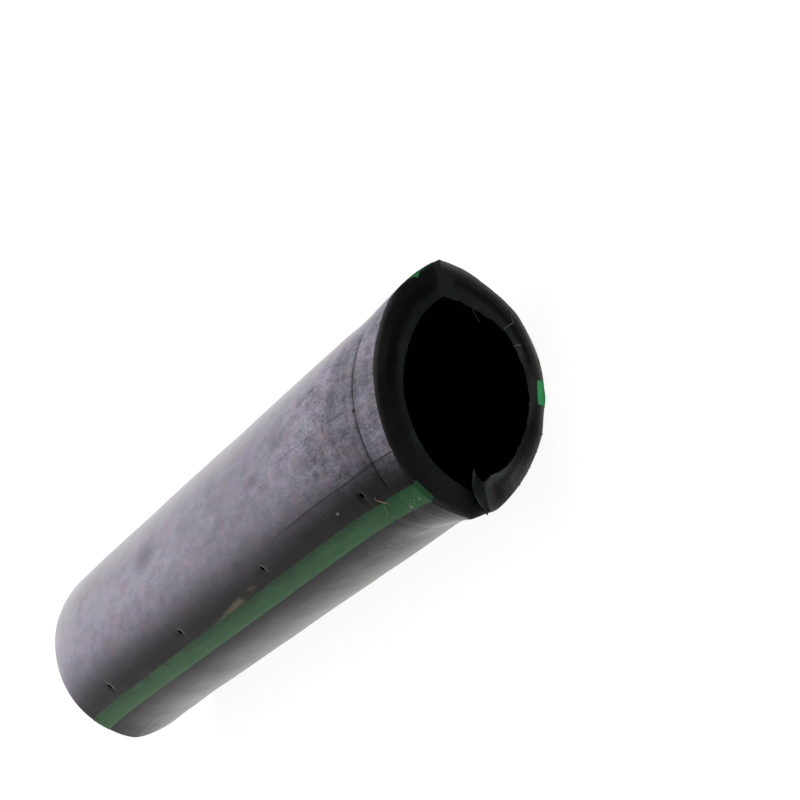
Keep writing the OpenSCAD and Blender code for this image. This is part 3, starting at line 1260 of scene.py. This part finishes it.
@dataclass
class Layer:
    """One layer of the hose's wall: its two faces and the cuts between them."""

    hose: Hose
    name: str
    slot: str
    node: str
    outer: float
    inner: float
    outer_rows: list[float]
    inner_rows: list[float]
    turns: list[tuple[float, float]]
    outer_rim: float
    inner_rim: float

    def _profile(self) -> list[tuple[float, float]]:
        """The section of the wall as (along, depth) stations, once round: out, cut, back and cut.

        Returns:
            The stations.
        """
        end = self.hose.half_length
        wall = self.inner - self.outer
        rim, bore = self.outer_rim, self.inner_rim
        cut = [(end - rim, 0.0), (end - 0.3 * rim, 0.3 * rim), (end, rim)]
        steps = max(3, round(wall / (0.10 * MM)))
        cut += [(end, rim + (wall - rim - bore) * i / steps) for i in range(1, steps)]
        cut += [(end, wall - bore), (end - 0.3 * bore, wall - 0.3 * bore), (end - bore, wall)]
        cut = [(along, self.outer + depth) for along, depth in cut]
        limit = end - max(rim, bore) - 0.05 * MM
        outer = [(along, self.outer) for along in self.outer_rows if abs(along) < limit]
        inner = [(along, self.inner) for along in reversed(self.inner_rows) if abs(along) < limit]
        far = [(-along, depth) for along, depth in reversed(cut)]
        return outer + cut + inner + far

    def build(self, layer: Group, settings: dict[str, object]) -> None:
        """Makes the layer and seats it.

        Args:
            layer: The geometry tree of the hose's layers.
            settings: Values for the tree's inputs.
        """
        profile, wall, radius = self._profile(), self.inner - self.outer, self.hose.radius

        def point(row: int, column: int) -> Point:
            """Gives one point of the net, let down where the column lies in a groove.

            Args:
                row: Its place in the wall's section.
                column: Its place round the hose.

            Returns:
                The point.
            """
            along, depth = profile[row]
            turn, groove = self.turns[column]
            kept = 1.0 - groove / wall if groove else 1.0
            return straight(along, turn, self.outer + groove + (depth - self.outer) * kept, radius)

        net = closed_net(self.name, len(profile), len(self.turns), point)
        seat(formed(self.name, net, layer, settings), self.slot, self.node)


@dataclass
class LayerTree:
    """The geometry tree that every layer and stripe goes through."""

    form: MouthForm
    hose: Hose
    ring_at: float = 40.5 * MM
    ring_depth: float = 0.07 * MM
    ring_half: float = 0.10 * MM
    seam_depth: float = 0.035 * MM
    seam_half: float = 0.45
    wave_height: float = 0.10 * MM
    dimple_depth: float = 0.10 * MM
    dimple_half: float = 0.42 * MM
    tear: float = 0.16 * MM
    notch: float = 0.06
    roll: float = 0.24 * MM
    roll_reach: float = 0.55 * MM
    bit_sides: int = 20

    def build(self) -> Group:
        """Builds the tree: drill, work the surface, form, and dress.

        Returns:
            The tree.
        """
        hose = self.hose
        group = Group("hose layer", Tree.GEOMETRY, {
            "Geometry": Socket.SHAPE, **hose.form_sizes(),
            "Hole Width": hose.hole_width, "First Hole": hose.half_length - hose.first_hole,
            "Hole Pitch": hose.hole_pitch, "Hole Count": hose.hole_count, "Hole Turn": hose.hole_turn,
            "Ring At": self.ring_at, "Ring Depth": self.ring_depth, "Ring Half": self.ring_half,
            "Seam Depth": self.seam_depth, "Seam Half": self.seam_half,
            "Wave Height": self.wave_height, "Dimple Depth": self.dimple_depth,
            "Dimple Half": self.dimple_half, "Tear": self.tear, "Notch": self.notch,
            "Roll": self.roll, "Roll Reach": self.roll_reach, "Seed": 7.0,
            "Outer Finish": Socket.FINISH, "Cut Finish": Socket.FINISH, "Cut From": 0.03 * MM,
        }, {"Geometry": Socket.SHAPE})
        w = group.wires
        drilled = self._drill(group)
        where = w.out(w.node("GeometryNodeInputPosition"))
        x, y, z = w.split(where)
        reach = w.math("SQRT", y * y + z * z)
        depth = group["Radius"] - reach
        turn = w.math("DEGREES", w.math("ARCTAN2", z, y))
        turn = turn + (turn < 0.0) * 360.0
        laid = self.store(w, drilled, LAY, "FLOAT_VECTOR", w.place(x * 1000.0, y / reach, z / reach))
        laid = self.store(w, laid, DEPTH, "FLOAT", depth * 1000.0)
        worked_x, worked_turn, worked_depth, score = self._work(group, x, y, z, turn, depth)
        laid = self.store(w, laid, GROOVE_SHADE, "FLOAT", score)
        out = group["Radius"] - worked_depth
        rad = w.math("RADIANS", worked_turn)
        worked = w.place(worked_x, out * w.math("COSINE", rad), out * w.math("SINE", rad))
        move = w.node("GeometryNodeSetPosition")
        w.put(move.inputs["Geometry"], laid)
        w.put(move.inputs["Position"], self.form.lay(w, worked, group))
        real = w.node("GeometryNodeRealizeInstances")
        w.put(real.inputs[0], move.outputs[0])
        dressed = w.node("GeometryNodeSetMaterial")
        w.put(dressed.inputs["Geometry"], real.outputs[0])
        w.put(dressed.inputs["Material"], group["Outer Finish"])
        cut = w.node("GeometryNodeSetMaterial")
        stored = w.node("GeometryNodeInputNamedAttribute", data_type="FLOAT")
        stored.inputs["Name"].default_value = DEPTH
        w.put(cut.inputs["Geometry"], dressed.outputs[0])
        w.put(cut.inputs["Selection"], w.out(stored) > group["Cut From"] * 1000.0)
        w.put(cut.inputs["Material"], group["Cut Finish"])
        group["Geometry"] = cut.outputs[0]
        return group

    @staticmethod
    def store(w: Wires, shape: object, name: str, kind: str, value: Value) -> bpy.types.NodeSocket:
        """Keeps a value on the mesh's points, for the finishes to read.

        Args:
            w: The tree.
            shape: The mesh.
            name: The value's name on it.
            kind: Its type.
            value: What is kept.

        Returns:
            The mesh with the value on it.
        """
        node = w.node("GeometryNodeStoreNamedAttribute", data_type=kind, domain="POINT")
        w.put(node.inputs["Geometry"], shape)
        node.inputs["Name"].default_value = name
        w.put(node.inputs["Value"], value)
        return node.outputs[0]

    def _drill(self, group: Group) -> bpy.types.NodeSocket:
        """Drills the row of weep holes through the straight layer.

        Args:
            group: The tree, whose inputs give the row.

        Returns:
            The drilled layer.
        """
        w = group.wires
        cos, sin = (w.math(name, group["Hole Turn"]) for name in ("COSINE", "SINE"))
        row = w.node("GeometryNodeMeshLine", mode="OFFSET")
        w.put(row.inputs["Count"], group["Hole Count"])
        w.put(row.inputs["Start Location"], w.place(group["First Hole"], group["Radius"] * 0.87 * cos,
                                                    group["Radius"] * 0.87 * sin))
        w.put(row.inputs["Offset"], w.place(-group["Hole Pitch"], 0.0, 0.0))
        bit = w.node("GeometryNodeMeshCylinder", fill_type="NGON")
        bit.inputs["Vertices"].default_value = self.bit_sides
        w.put(bit.inputs["Radius"], group["Hole Width"] * 0.5)
        w.put(bit.inputs["Depth"], group["Wall"] * 2.0)
        bits = w.node("GeometryNodeInstanceOnPoints")
        w.put(bits.inputs["Points"], row.outputs[0])
        w.put(bits.inputs["Instance"], bit.outputs[0])
        w.put(bits.inputs["Rotation"], w.place(group["Hole Turn"] - math.pi / 2.0, 0.0, 0.0))
        real = w.node("GeometryNodeRealizeInstances")
        w.put(real.inputs[0], bits.outputs[0])
        cut = w.node("GeometryNodeMeshBoolean", operation="DIFFERENCE", solver="EXACT")
        w.put(cut.inputs["Mesh 1"], group["Geometry"])
        w.put(cut.inputs["Mesh 2"], real.outputs[0])
        return cut.outputs[0]

    def _work(self, group: Group, x: Value, y: Value, z: Value, turn: Value,
              depth: Value) -> tuple[Value, Value, Value, Value]:
        """Works the surface of the straight layer: its waves, score ring, seam, dimples, tears and notch.

        Args:
            group: The tree.
            x: The place along the hose.
            y: The place across it.
            z: The height over its axis.
            turn: The turn round it, in degrees.
            depth: The depth under its outer face.

        Returns:
            The new place along the hose, turn and depth, and the mask of painted shade in the score ring and
            the seam.
        """
        w = group.wires
        seed = w.place(group["Seed"], 0.0, 0.0)
        outer = w.ease(depth, 0.25 * MM, 0.04 * MM)
        mm = w.shift(w.stretch(w.place(x, y, z), 1000.0, 1000.0, 1000.0), seed)
        wave = (w.noise(w.stretch(mm, 0.5, 1.0, 1.0), 0.16, 2.0, 0.4) - 0.5) * group["Wave Height"] * 2.0
        # Shallow bands run round the hose where it was squeezed.
        squeezed = w.window(x, 31.0 * MM, 41.5 * MM, 1.5 * MM)
        bands = (w.noise(w.stretch(mm, 1.0, 0.12, 0.12), 0.75, 1.0) - 0.5) * group["Wave Height"]
        bands = bands * squeezed * 0.6
        drift = (turn - 54.0) * (-0.0055 * MM)
        fall = w.math("POWER", w.math("MAXIMUM", (turn - 148.0) / 21.0, 0.0), 1.25) * (-1.25 * MM)
        wander = (w.noise(w.stretch(mm, 0.0, 1.0, 1.0), 0.55, 1.0) - 0.5) * (0.30 * MM)
        ring_at = group["Ring At"] + drift + fall + wander
        ringed = w.window(turn, 50.0, 171.0, 3.0)
        ring = w.bell(x, ring_at, group["Ring Half"]) * ringed
        seam_turn = 127.0 - w.ease(x, 34.0 * MM, 43.5 * MM) * 3.2
        seam = w.bell(turn, seam_turn, group["Seam Half"]) * w.ease(x, 15.0 * MM, 27.0 * MM)
        hole = self._from_hole(group, x, turn)
        dimple = w.math("EXPONENT", -(hole * hole)) * group["Dimple Depth"]
        cutting = ring * (1.0 - w.ease(turn, 134.0, 143.0) * 0.8)
        sunk = (cutting * group["Ring Depth"] + seam * group["Seam Depth"] + dimple - wave - bands) * outer
        # The knife leaves the cut face a little uneven and tears the inner edge.
        at_cut = w.ease(abs(x), 42.2 * MM, 42.85 * MM)
        inner = w.ease(depth, 1.35 * MM, 1.95 * MM)
        lower = w.window(turn, 193.0, 350.0, 7.0)
        torn = (w.noise(w.stretch(mm, 0.3, 1.0, 1.0), 1.7, 3.0, 0.62) - 0.5) * group["Tear"]
        torn = torn * (lower * 2.4 + 1.0)
        fine = (w.noise(w.stretch(mm, 0.3, 1.0, 1.0), 1.1, 2.0, 0.5) - 0.5) * (0.06 * MM)
        near = x > 0.0
        open_corner = w.bell(turn, 181.5, 4.5) * w.ease(x, 39.5 * MM, 42.6 * MM) * near
        share = w.clamp((depth - 0.95 * MM) / (1.05 * MM))
        sunk = sunk + torn * at_cut * inner - open_corner * share * group["Notch"] * MM
        # The blade pressed the near lip thicker by its upper crest and thinner along its lower right.
        at_lip = w.ease(x, 37.0 * MM, 42.6 * MM)
        thick = w.ease(turn, 95.0, 40.0) * 0.32 + 0.06 + w.ease(turn, 305.0, 340.0) * 0.56 - \
            w.window(turn, 210.0, 270.0, 9.0) * 0.50 - w.window(turn, 268.0, 288.0, 7.0) * 0.16
        spread = w.ease(turn, 60.0, 28.0) * 0.25 + w.ease(turn, 335.0, 350.0) * 0.20 + \
            w.window(turn, 308.0, 346.0, 8.0) * 0.30 + w.window(turn, 197.0, 256.0, 7.0) * 0.24 + \
            w.window(turn, 264.0, 308.0, 8.0) * 0.14
        outward = 1.0 - w.clamp(depth / (1.2 * MM))
        sunk = sunk + at_lip * (thick * share - spread * outward) * MM
        roll = w.clamp(1.0 - depth / group["Roll Reach"])
        rough_rim = (w.noise(mm, 2.6, 2.0, 0.6) - 0.5) * (0.12 * MM) * w.ease(depth, 0.2 * MM, 0.0)
        rolled = roll * roll * group["Roll"] * lower * at_cut * (1.0 - w.ease(turn, 285.0, 322.0) * 0.8)
        moved = w.math("SIGN", x) * ((fine + rough_rim * lower) * at_cut - rolled)
        # The lips stretch the stripe on the near side back towards the crest.
        pull = w.ease(x, 36.5 * MM, 42.8 * MM) * w.window(turn, 143.0, 163.0, 5.0)
        # The mask of painted shade, with some dirt, in the score ring and the seam.
        score = w.clamp(ring * (1.0 - w.window(turn, 128.0, 144.0, 3.0) * 0.35) + seam * 0.9) * outer
        return x + moved, turn - pull * 1.6, depth + sunk, score

    @staticmethod
    def _from_hole(group: Group, x: Value, turn: Value) -> Value:
        """How far a point is from the nearest weep hole, in widths of its dimple.

        Args:
            group: The tree.
            x: The place along the hose.
            turn: The turn round it, in degrees.

        Returns:
            The distance.
        """
        w = group.wires
        step = (group["First Hole"] - x) / group["Hole Pitch"]
        last = w.math("MAXIMUM", w.math("MINIMUM", w.math("ROUND", step), group["Hole Count"] - 1.0), 0.0)
        along = (step - last) * group["Hole Pitch"]
        across = (w.math("RADIANS", turn) - group["Hole Turn"]) * group["Radius"]
        return w.math("SQRT", along * along + across * across) / group["Dimple Half"]


@dataclass
class Wall:
    """The hose's two layers and its three stripes."""

    hose: Hose
    form: MouthForm
    skin: bpy.types.Material
    cut: bpy.types.Material
    stripe: bpy.types.Material
    bond_line: float = 0.004 * MM
    stripes: list[Stripe] = field(default_factory=list)

    def build(self) -> None:
        """Makes the layers and the stripes."""
        hose = self.hose
        tree = LayerTree(self.form, hose).build()
        self.stripes = [Stripe(hose, place) for place in StripePlace]
        end = hose.half_length
        mouths = [(sign * (end - 1.2 * MM), 1.6 * MM, 0.3 * MM) for sign in (-1, 1)]
        holes = [(at, 0.95 * MM, 0.14 * MM) for at in hose.holes()]
        ring = [(39.7 * MM, 1.5 * MM, 0.1 * MM)]
        outer_rows = stations([-end, end], 0.95 * MM, mouths + holes + ring)
        hidden_rows = stations([-end, end], 1.5 * MM, mouths)
        bore_rows = stations([-end, end], 1.1 * MM, mouths)
        skin = Layer(hose, "satin_outer_skin", "skin", "outer_skin", 0.0, hose.skin_wall,
                     outer_rows, hidden_rows, self._turns(True), 0.07 * MM, 0.008 * MM)
        skin.build(tree, {"Outer Finish": self.skin, "Cut Finish": self.cut})
        tube = Layer(hose, "dull_inner_tube", "tube", "inner_tube", hose.skin_wall + self.bond_line,
                     hose.wall, hidden_rows, bore_rows, self._turns(False), 0.008 * MM, 0.09 * MM)
        tube.build(tree, {"Outer Finish": self.cut, "Cut Finish": self.cut})
        for stripe in self.stripes:
            stripe.build(tree, {"Outer Finish": self.stripe, "Cut Finish": self.stripe, "Hole Count": 0},
                         [-end, *(row for row in outer_rows if abs(row) < end - 0.1 * MM), end])

    def _turns(self, grooved: bool) -> list[tuple[float, float]]:
        """The net's columns as (turn, groove depth), once round.

        Args:
            grooved: Whether the stripes are let in.

        Returns:
            The columns.
        """
        dense = [(125.5, 2.6, 0.5), (136.7, 4.0, 0.75), (250.0, 62.0, 1.0)] if grooved else \
            [(136.7, 3.0, 1.0), (255.0, 66.0, 0.8)]
        anchors, grooves = [0.0, 180.0], []
        if grooved:
            for stripe in self.stripes:
                low, high, edge = stripe.turn - stripe.half, stripe.turn + stripe.half, stripe.edge
                anchors += [low - edge, low + edge, high - edge, high + edge]
                grooves.append((low + edge / 2.0, high - edge / 2.0, stripe))
        columns = stations(sorted(anchors) + [360.0], 1.5, dense)[:-1]
        return [(turn, next((stripe.depth_at(turn) for low, high, stripe in grooves if low < turn < high),
                            0.0)) for turn in columns]


def through(stops: Sequence[Sequence[float]], at: float) -> list[float]:
    """A point on the smooth line through some stops.

    Args:
        stops: The stops, each a list of numbers.
        at: How far along the line, from 0 to 1.

    Returns:
        The numbers there.
    """
    last = len(stops) - 1
    step = min(int(at * last), last - 1)
    t = at * last - step
    p0, p1, p2, p3 = (stops[min(max(step + k, 0), last)] for k in (-1, 0, 1, 2))
    return [0.5 * (2 * b + (c - a) * t + (2 * a - 5 * b + 4 * c - d) * t * t
                   + (3 * b - a - 3 * c + d) * t ** 3) for a, b, c, d in zip(p0, p1, p2, p3)]


class TrimTree:
    """The geometry tree of what is stuck on the wall: it only follows the form."""

    def __init__(self, form: MouthForm, name: str, extra: dict[str, object]) -> None:
        """Makes the tree and puts its points through the form.

        Args:
            form: The rule of the pinched ends.
            name: The tree's name.
            extra: Its own inputs.
        """
        self.group = Group(name, Tree.GEOMETRY, {
            "Geometry": Socket.SHAPE, **form.hose.form_sizes(), **extra, "Finish": Socket.FINISH,
        }, {"Geometry": Socket.SHAPE})
        w = self.wires = self.group.wires
        where = w.out(w.node("GeometryNodeInputPosition"))
        x, y, z = w.split(where)
        reach = w.math("SQRT", y * y + z * z)
        laid = LayerTree.store(w, self.group["Geometry"], LAY, "FLOAT_VECTOR",
                               w.place(x * 1000.0, y / reach, z / reach))
        move = w.node("GeometryNodeSetPosition")
        w.put(move.inputs["Geometry"], laid)
        w.put(move.inputs["Position"], form.lay(w, where, self.group))
        self.shape = move.outputs[0]

    def finish(self, shape: bpy.types.NodeSocket) -> Group:
        """Ends the tree with plain geometry and its finish.

        Args:
            shape: The tree's result.

        Returns:
            The finished tree.
        """
        w = self.wires
        real, dressed = w.node("GeometryNodeRealizeInstances"), w.node("GeometryNodeSetMaterial")
        w.put(real.inputs[0], shape)
        w.put(dressed.inputs["Geometry"], real.outputs[0])
        w.put(dressed.inputs["Material"], self.group["Finish"])
        self.group["Geometry"] = dressed.outputs[0]
        return self.group


@dataclass
class TornFlap:
    """The thin tongue that the blade tore from the lower lip and folded over the mouth's corner."""

    hose: Hose
    form: MouthForm
    finish: bpy.types.Material
    thickness: float = 0.11 * MM
    rows: int = 30
    columns: int = 16
    fold: tuple[Point, ...] = ((195.9, -0.02, 0.02), (196.2, 0.70, 0.05), (197.6, 1.50, 0.05),
                               (199.5, 2.02, 0.02))
    free: tuple[Point, ...] = ((193.2, -0.03, 0.06), (188.9, 0.45, 0.20), (185.5, 1.05, 0.32),
                               (183.5, 1.70, 0.34), (183.8, 2.40, 0.26), (187.4, 3.20, 0.16))
    dip: float = 0.45

    def build(self) -> None:
        """Makes the flap and seats it."""
        group = TrimTree(self.form, "flap form", {})
        tree = group.finish(group.shape)
        rows, columns, half = self.rows, self.columns, self.hose.half_length
        points: list[Point] = []
        for side in (1.0, 0.0):
            for row in range(rows):
                for column in range(columns):
                    points.append(self._point(row / (rows - 1), column / (columns - 1), side, half))
        faces: list[tuple[int, ...]] = []
        size = rows * columns
        for row in range(rows - 1):
            for column in range(columns - 1):
                at = row * columns + column
                quad = (at, at + 1, at + columns + 1, at + columns)
                faces += [quad, tuple(size + i for i in reversed(quad))]
        border = [*range(columns), *(r * columns + columns - 1 for r in range(1, rows)),
                  *((rows - 1) * columns + c for c in range(columns - 2, -1, -1)),
                  *(r * columns for r in range(rows - 2, 0, -1))]
        for here, there in zip(border, border[1:] + border[:1]):
            faces.append((there, here, here + size, there + size))
        mesh = bpy.data.meshes.new("torn_flap")
        mesh.from_pydata(points, [], faces)
        # The edge value holds the painted highlights along the free edge and the fold.
        edge = mesh.attributes.new("edge", "FLOAT", "POINT")
        for i, point in enumerate(edge.data):
            across = (i % size % columns) / (columns - 1)
            free_edge_highlight = math.exp(-((1.0 - across) / 0.07) ** 2)
            crease_highlight = math.exp(-((across - 0.10) / 0.15) ** 2)
            point.value = max(free_edge_highlight, 0.85 * crease_highlight)
        seat(formed("torn_flap", mesh, tree, {"Finish": self.finish}, 60.0), "tube")

    def _point(self, down: float, across: float, side: float, half: float) -> Point:
        """One point of the flap.

        Args:
            down: How far it is from the outer rim, 0 to 1.
            across: How far it is from the fold, 0 to 1.
            side: 1 on its face and 0 on its back.
            half: Half the hose's length.

        Returns:
            The point on the straight hose.
        """
        fold, free = through(self.fold, down), through(self.free, down)
        turn, depth = (a + (b - a) * across for a, b in zip(fold[:2], free[:2]))
        depth -= self.dip * 4.0 * across * (1.0 - across) * down ** 5
        lift = fold[2] + (free[2] - fold[2]) * across ** 1.4
        crumple = 0.035 * math.sin(9.0 * down + 5.0 * across) * across + \
            0.05 * math.exp(-((across - 0.12) / 0.08) ** 2)
        return straight(half + (lift + crumple) * MM + (side - 1.0) * self.thickness, turn, depth * MM,
                        self.hose.radius)


@dataclass
class RimBurrs:
    """Small blunt burrs that the blade left on the lower lip's outer edge."""

    hose: Hose
    form: MouthForm
    finish: bpy.types.Material
    height: float = 0.16 * MM
    width: float = 0.11 * MM
    sides: int = 7
    smallest: float = 0.45
    largest: float = 1.1
    turns: tuple[float, ...] = (193.1, 220.8, 223.0, 227.3, 228.9, 231.7, 240.5, 249.3, 250.2)

    def build(self) -> None:
        """Makes the burrs and seats them."""
        tree = TrimTree(self.form, "rim burrs", {"Height": self.height, "Width": self.width, "Seed": 5})
        w, group = tree.wires, tree.group
        burr = w.node("GeometryNodeMeshCone")
        burr.inputs["Vertices"].default_value = self.sides
        w.put(burr.inputs["Radius Bottom"], group["Width"])
        w.put(burr.inputs["Radius Top"], group["Width"] * 0.45)
        w.put(burr.inputs["Depth"], group["Height"])
        size = w.node("FunctionNodeRandomValue", data_type="FLOAT")
        w.put(size.inputs[2], self.smallest)
        w.put(size.inputs[3], self.largest)
        w.put(size.inputs["Seed"], group["Seed"])
        x, y, z = w.split(w.out(w.node("GeometryNodeInputPosition")))
        aim = w.node("FunctionNodeAlignRotationToVector", axis="Z")
        w.put(aim.inputs["Vector"], w.place(0.35, y * 150.0, (z - group["Axis Height"]) * 150.0))
        burrs = w.node("GeometryNodeInstanceOnPoints")
        w.put(burrs.inputs["Points"], tree.shape)
        w.put(burrs.inputs["Instance"], burr.outputs[0])
        w.put(burrs.inputs["Rotation"], aim.outputs[0])
        w.put(burrs.inputs["Scale"], size.outputs[1])
        ready = tree.finish(burrs.outputs[0])
        mesh = bpy.data.meshes.new("rim_burrs")
        mesh.from_pydata([straight(self.hose.half_length - 0.14 * MM, turn, -0.06 * MM, self.hose.radius)
                          for turn in self.turns], [], [])
        seat(formed("rim_burrs", mesh, ready, {"Finish": self.finish}), "skin")


@dataclass(frozen=True)
class Strand:
    """One fibre of lint: where it lies, and its finish."""

    name: str
    finish: LintFinish
    stops: tuple[Point, ...]
    width: float = 0.06 * MM


STRANDS = (
    Strand("lint_on_skin", LintFinish("rosy_lint", (0.34, 0.21, 0.17)),
           ((37.51, 141.1, -0.03), (37.54, 142.2, -0.15), (37.56, 143.7, -0.07), (37.86, 145.2, -0.10),
            (38.16, 146.6, -0.14), (38.30, 147.6, -0.04)), 0.057 * MM),
    Strand("lint_on_stripe", LintFinish("green_lint", (0.16, 0.27, 0.145)),
           ((37.53, 148.0, -0.04), (37.27, 150.1, -0.12), (36.91, 152.5, -0.09), (36.13, 154.4, -0.13),
            (35.48, 155.7, -0.04)), 0.047 * MM),
    Strand("hair_on_cut", LintFinish("grey_hair", (0.16, 0.17, 0.16)),
           ((43.00, 316.3, -0.10), (43.06, 315.4, 0.55), (43.12, 313.0, 0.82), (43.12, 313.8, 1.60),
            (43.03, 314.0, 2.06)), 0.05 * MM),
    Strand("hair_on_edge", LintFinish("pale_hair", (0.30, 0.31, 0.28)),
           ((43.04, 300.9, 2.10), (43.14, 300.4, 1.72), (43.04, 299.4, 1.38)), 0.06 * MM),
    Strand("hair_in_bore", LintFinish("brown_hair", (0.035, 0.022, 0.010)),
           ((43.00, 339.0, 2.30), (43.08, 339.8, 2.90), (43.10, 336.5, 3.20), (43.05, 333.0, 3.42)),
           0.04 * MM),
)


@dataclass
class Lint:
    """The fibres of lint that cling to the hose by its mouth."""

    hose: Hose
    form: MouthForm
    effects: Effects
    steps: int = 28
    sides: int = 6

    def build(self) -> None:
        """Makes the fibres and seats them."""
        tree = TrimTree(self.form, "lint fibre", {"Width": 0.06 * MM})
        w, group = tree.wires, tree.group
        path, smooth = w.node("GeometryNodeMeshToCurve"), w.node("GeometryNodeCurveSplineType")
        smooth.spline_type = "CATMULL_ROM"
        w.put(path.inputs[0], tree.shape)
        w.put(smooth.inputs["Curve"], path.outputs[0])
        fine, ring = w.node("GeometryNodeResampleCurve"), w.node("GeometryNodeCurvePrimitiveCircle")
        w.put(fine.inputs["Curve"], smooth.outputs[0])
        fine.inputs["Count"].default_value = self.steps
        ring.inputs["Resolution"].default_value = self.sides
        w.put(ring.inputs["Radius"], group["Width"] * 0.5)
        swept = w.node("GeometryNodeCurveToMesh")
        w.put(swept.inputs["Curve"], fine.outputs[0])
        w.put(swept.inputs["Profile Curve"], ring.outputs["Curve"])
        swept.inputs["Fill Caps"].default_value = True
        ready = tree.finish(swept.outputs[0])
        for strand in STRANDS:
            mesh = bpy.data.meshes.new(strand.name)
            mesh.from_pydata([straight(along * MM, turn, depth * MM, self.hose.radius)
                              for along, turn, depth in strand.stops],
                             [(i, i + 1) for i in range(len(strand.stops) - 1)], [])
            finish = strand.finish.material(self.effects)
            seat(formed(strand.name, mesh, ready, {"Finish": finish, "Width": strand.width}), "skin")


# ------------------------------------------------------------------------------------------------ studio


@dataclass(frozen=True)
class Studio:
    """A white floor, soft light from above and the camera."""

    floor_half: float = 3.0
    sky: float = 0.5
    lamp_power: float = 3.4
    lamp_size: float = 0.7
    lamp_at: Point = (-0.10125, 0.12, 0.75)
    eye: Point = (0.22996, -0.05932, 0.09268)
    right: Point = (0.360829, -0.112113, -0.925869)
    up: Point = (0.296820, 0.954933, 0.000044)
    lens: float = 135.0
    sensor: float = 36.0
    nearest: float = 0.01
    floor_grey: float = 0.80
    floor_shown: float = 0.11
    floor_glow: float = 0.93

    def build(self) -> None:
        """Makes the floor, the light and the camera, and sets the view."""
        self._floor()
        self._light()
        self._camera()
        bpy.context.scene.view_settings.view_transform = "Standard"

    @staticmethod
    def _seen(w: Wires) -> Value:
        """1 on the rays that show the background: from the camera, in a reflection or through glass.

        Args:
            w: The material's tree.

        Returns:
            The mask.
        """
        path = w.node("ShaderNodeLightPath")
        camera, glossy, through = (w.out(path, f"Is {name} Ray")
                                   for name in ("Camera", "Glossy", "Transmission"))
        return w.math("MAXIMUM", w.math("MAXIMUM", camera, glossy), through)

    def _floor(self) -> None:
        """A plain white floor that keeps the hose's soft shadow."""
        half = self.floor_half
        mesh = bpy.data.meshes.new("floor")
        mesh.from_pydata([(-half, -half, 0.0), (half, -half, 0.0), (half, half, 0.0), (-half, half, 0.0)], [],
                         [(0, 1, 2, 3)])
        floor = bpy.data.objects.new("floor", mesh)
        bpy.context.scene.collection.objects.link(floor)
        material = bpy.data.materials.new("white_floor")
        material.use_nodes = True
        w = Wires(material.node_tree)
        material.node_tree.nodes.clear()
        plain, shown = w.node("ShaderNodeBsdfDiffuse"), w.node("ShaderNodeBsdfDiffuse")
        plain.inputs["Color"].default_value = (*[self.floor_grey] * 3, 1.0)
        shown.inputs["Color"].default_value = (*[self.floor_shown] * 3, 1.0)
        glow, both = w.node("ShaderNodeEmission"), w.node("ShaderNodeAddShader")
        glow.inputs["Strength"].default_value = self.floor_glow
        w.put(both.inputs[0], shown.outputs[0])
        w.put(both.inputs[1], glow.outputs[0])
        pick, out = w.node("ShaderNodeMixShader"), w.node("ShaderNodeOutputMaterial")
        w.put(pick.inputs[0], self._seen(w))
        w.put(pick.inputs[1], plain.outputs[0])
        w.put(pick.inputs[2], both.outputs[0])
        w.put(out.inputs["Surface"], pick.outputs[0])
        mesh.materials.append(material)

    def _light(self) -> None:
        """A white room that lights softly from all round, and one large lamp overhead."""
        world = bpy.data.worlds.new("white_room")
        world.use_nodes = True
        bpy.context.scene.world = world
        w = Wires(world.node_tree)
        back = world.node_tree.nodes["Background"]
        back.inputs["Color"].default_value = (1.0, 1.0, 1.0, 1.0)
        w.put(back.inputs["Strength"], self._seen(w) * (1.0 - self.sky) + self.sky)
        data = bpy.data.lights.new("softbox", "AREA")
        data.shape, data.size, data.energy = "SQUARE", self.lamp_size, self.lamp_power
        lamp = bpy.data.objects.new("softbox", data)
        bpy.context.scene.collection.objects.link(lamp)
        lamp.location = self.lamp_at
        lamp.rotation_euler = (Vector(self.lamp_at)).to_track_quat("Z", "Y").to_euler()

    def _camera(self) -> None:
        """The camera, which looks down along the hose at its mouth."""
        data = bpy.data.cameras.new("camera")
        data.lens, data.sensor_width, data.clip_start = self.lens, self.sensor, self.nearest
        camera = bpy.data.objects.new("camera", data)
        bpy.context.scene.collection.objects.link(camera)
        right, up = Vector(self.right).normalized(), Vector(self.up).normalized()
        back = right.cross(up).normalized()
        turn = Matrix((right, back.cross(right), back)).transposed().to_4x4()
        camera.matrix_world = Matrix.Translation(self.eye) @ turn
        bpy.context.scene.camera = camera


def main() -> None:
    """Builds the hose and its studio."""
    logging.basicConfig(level=logging.INFO, format="%(name)s: %(message)s")
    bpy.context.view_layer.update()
    hose = Hose()
    form = MouthForm(hose)
    effects = Effects()
    skin, cut, stripe = (finish.material(effects) for finish in (SkinFinish(), CutFinish(), StripeFinish()))
    Wall(hose, form, skin, cut, stripe).build()
    TornFlap(hose, form, FlapFinish().material(effects)).build()
    RimBurrs(hose, form, cut).build()
    Lint(hose, form, effects).build()
    Studio().build()


if __name__ == "__main__":
    main()
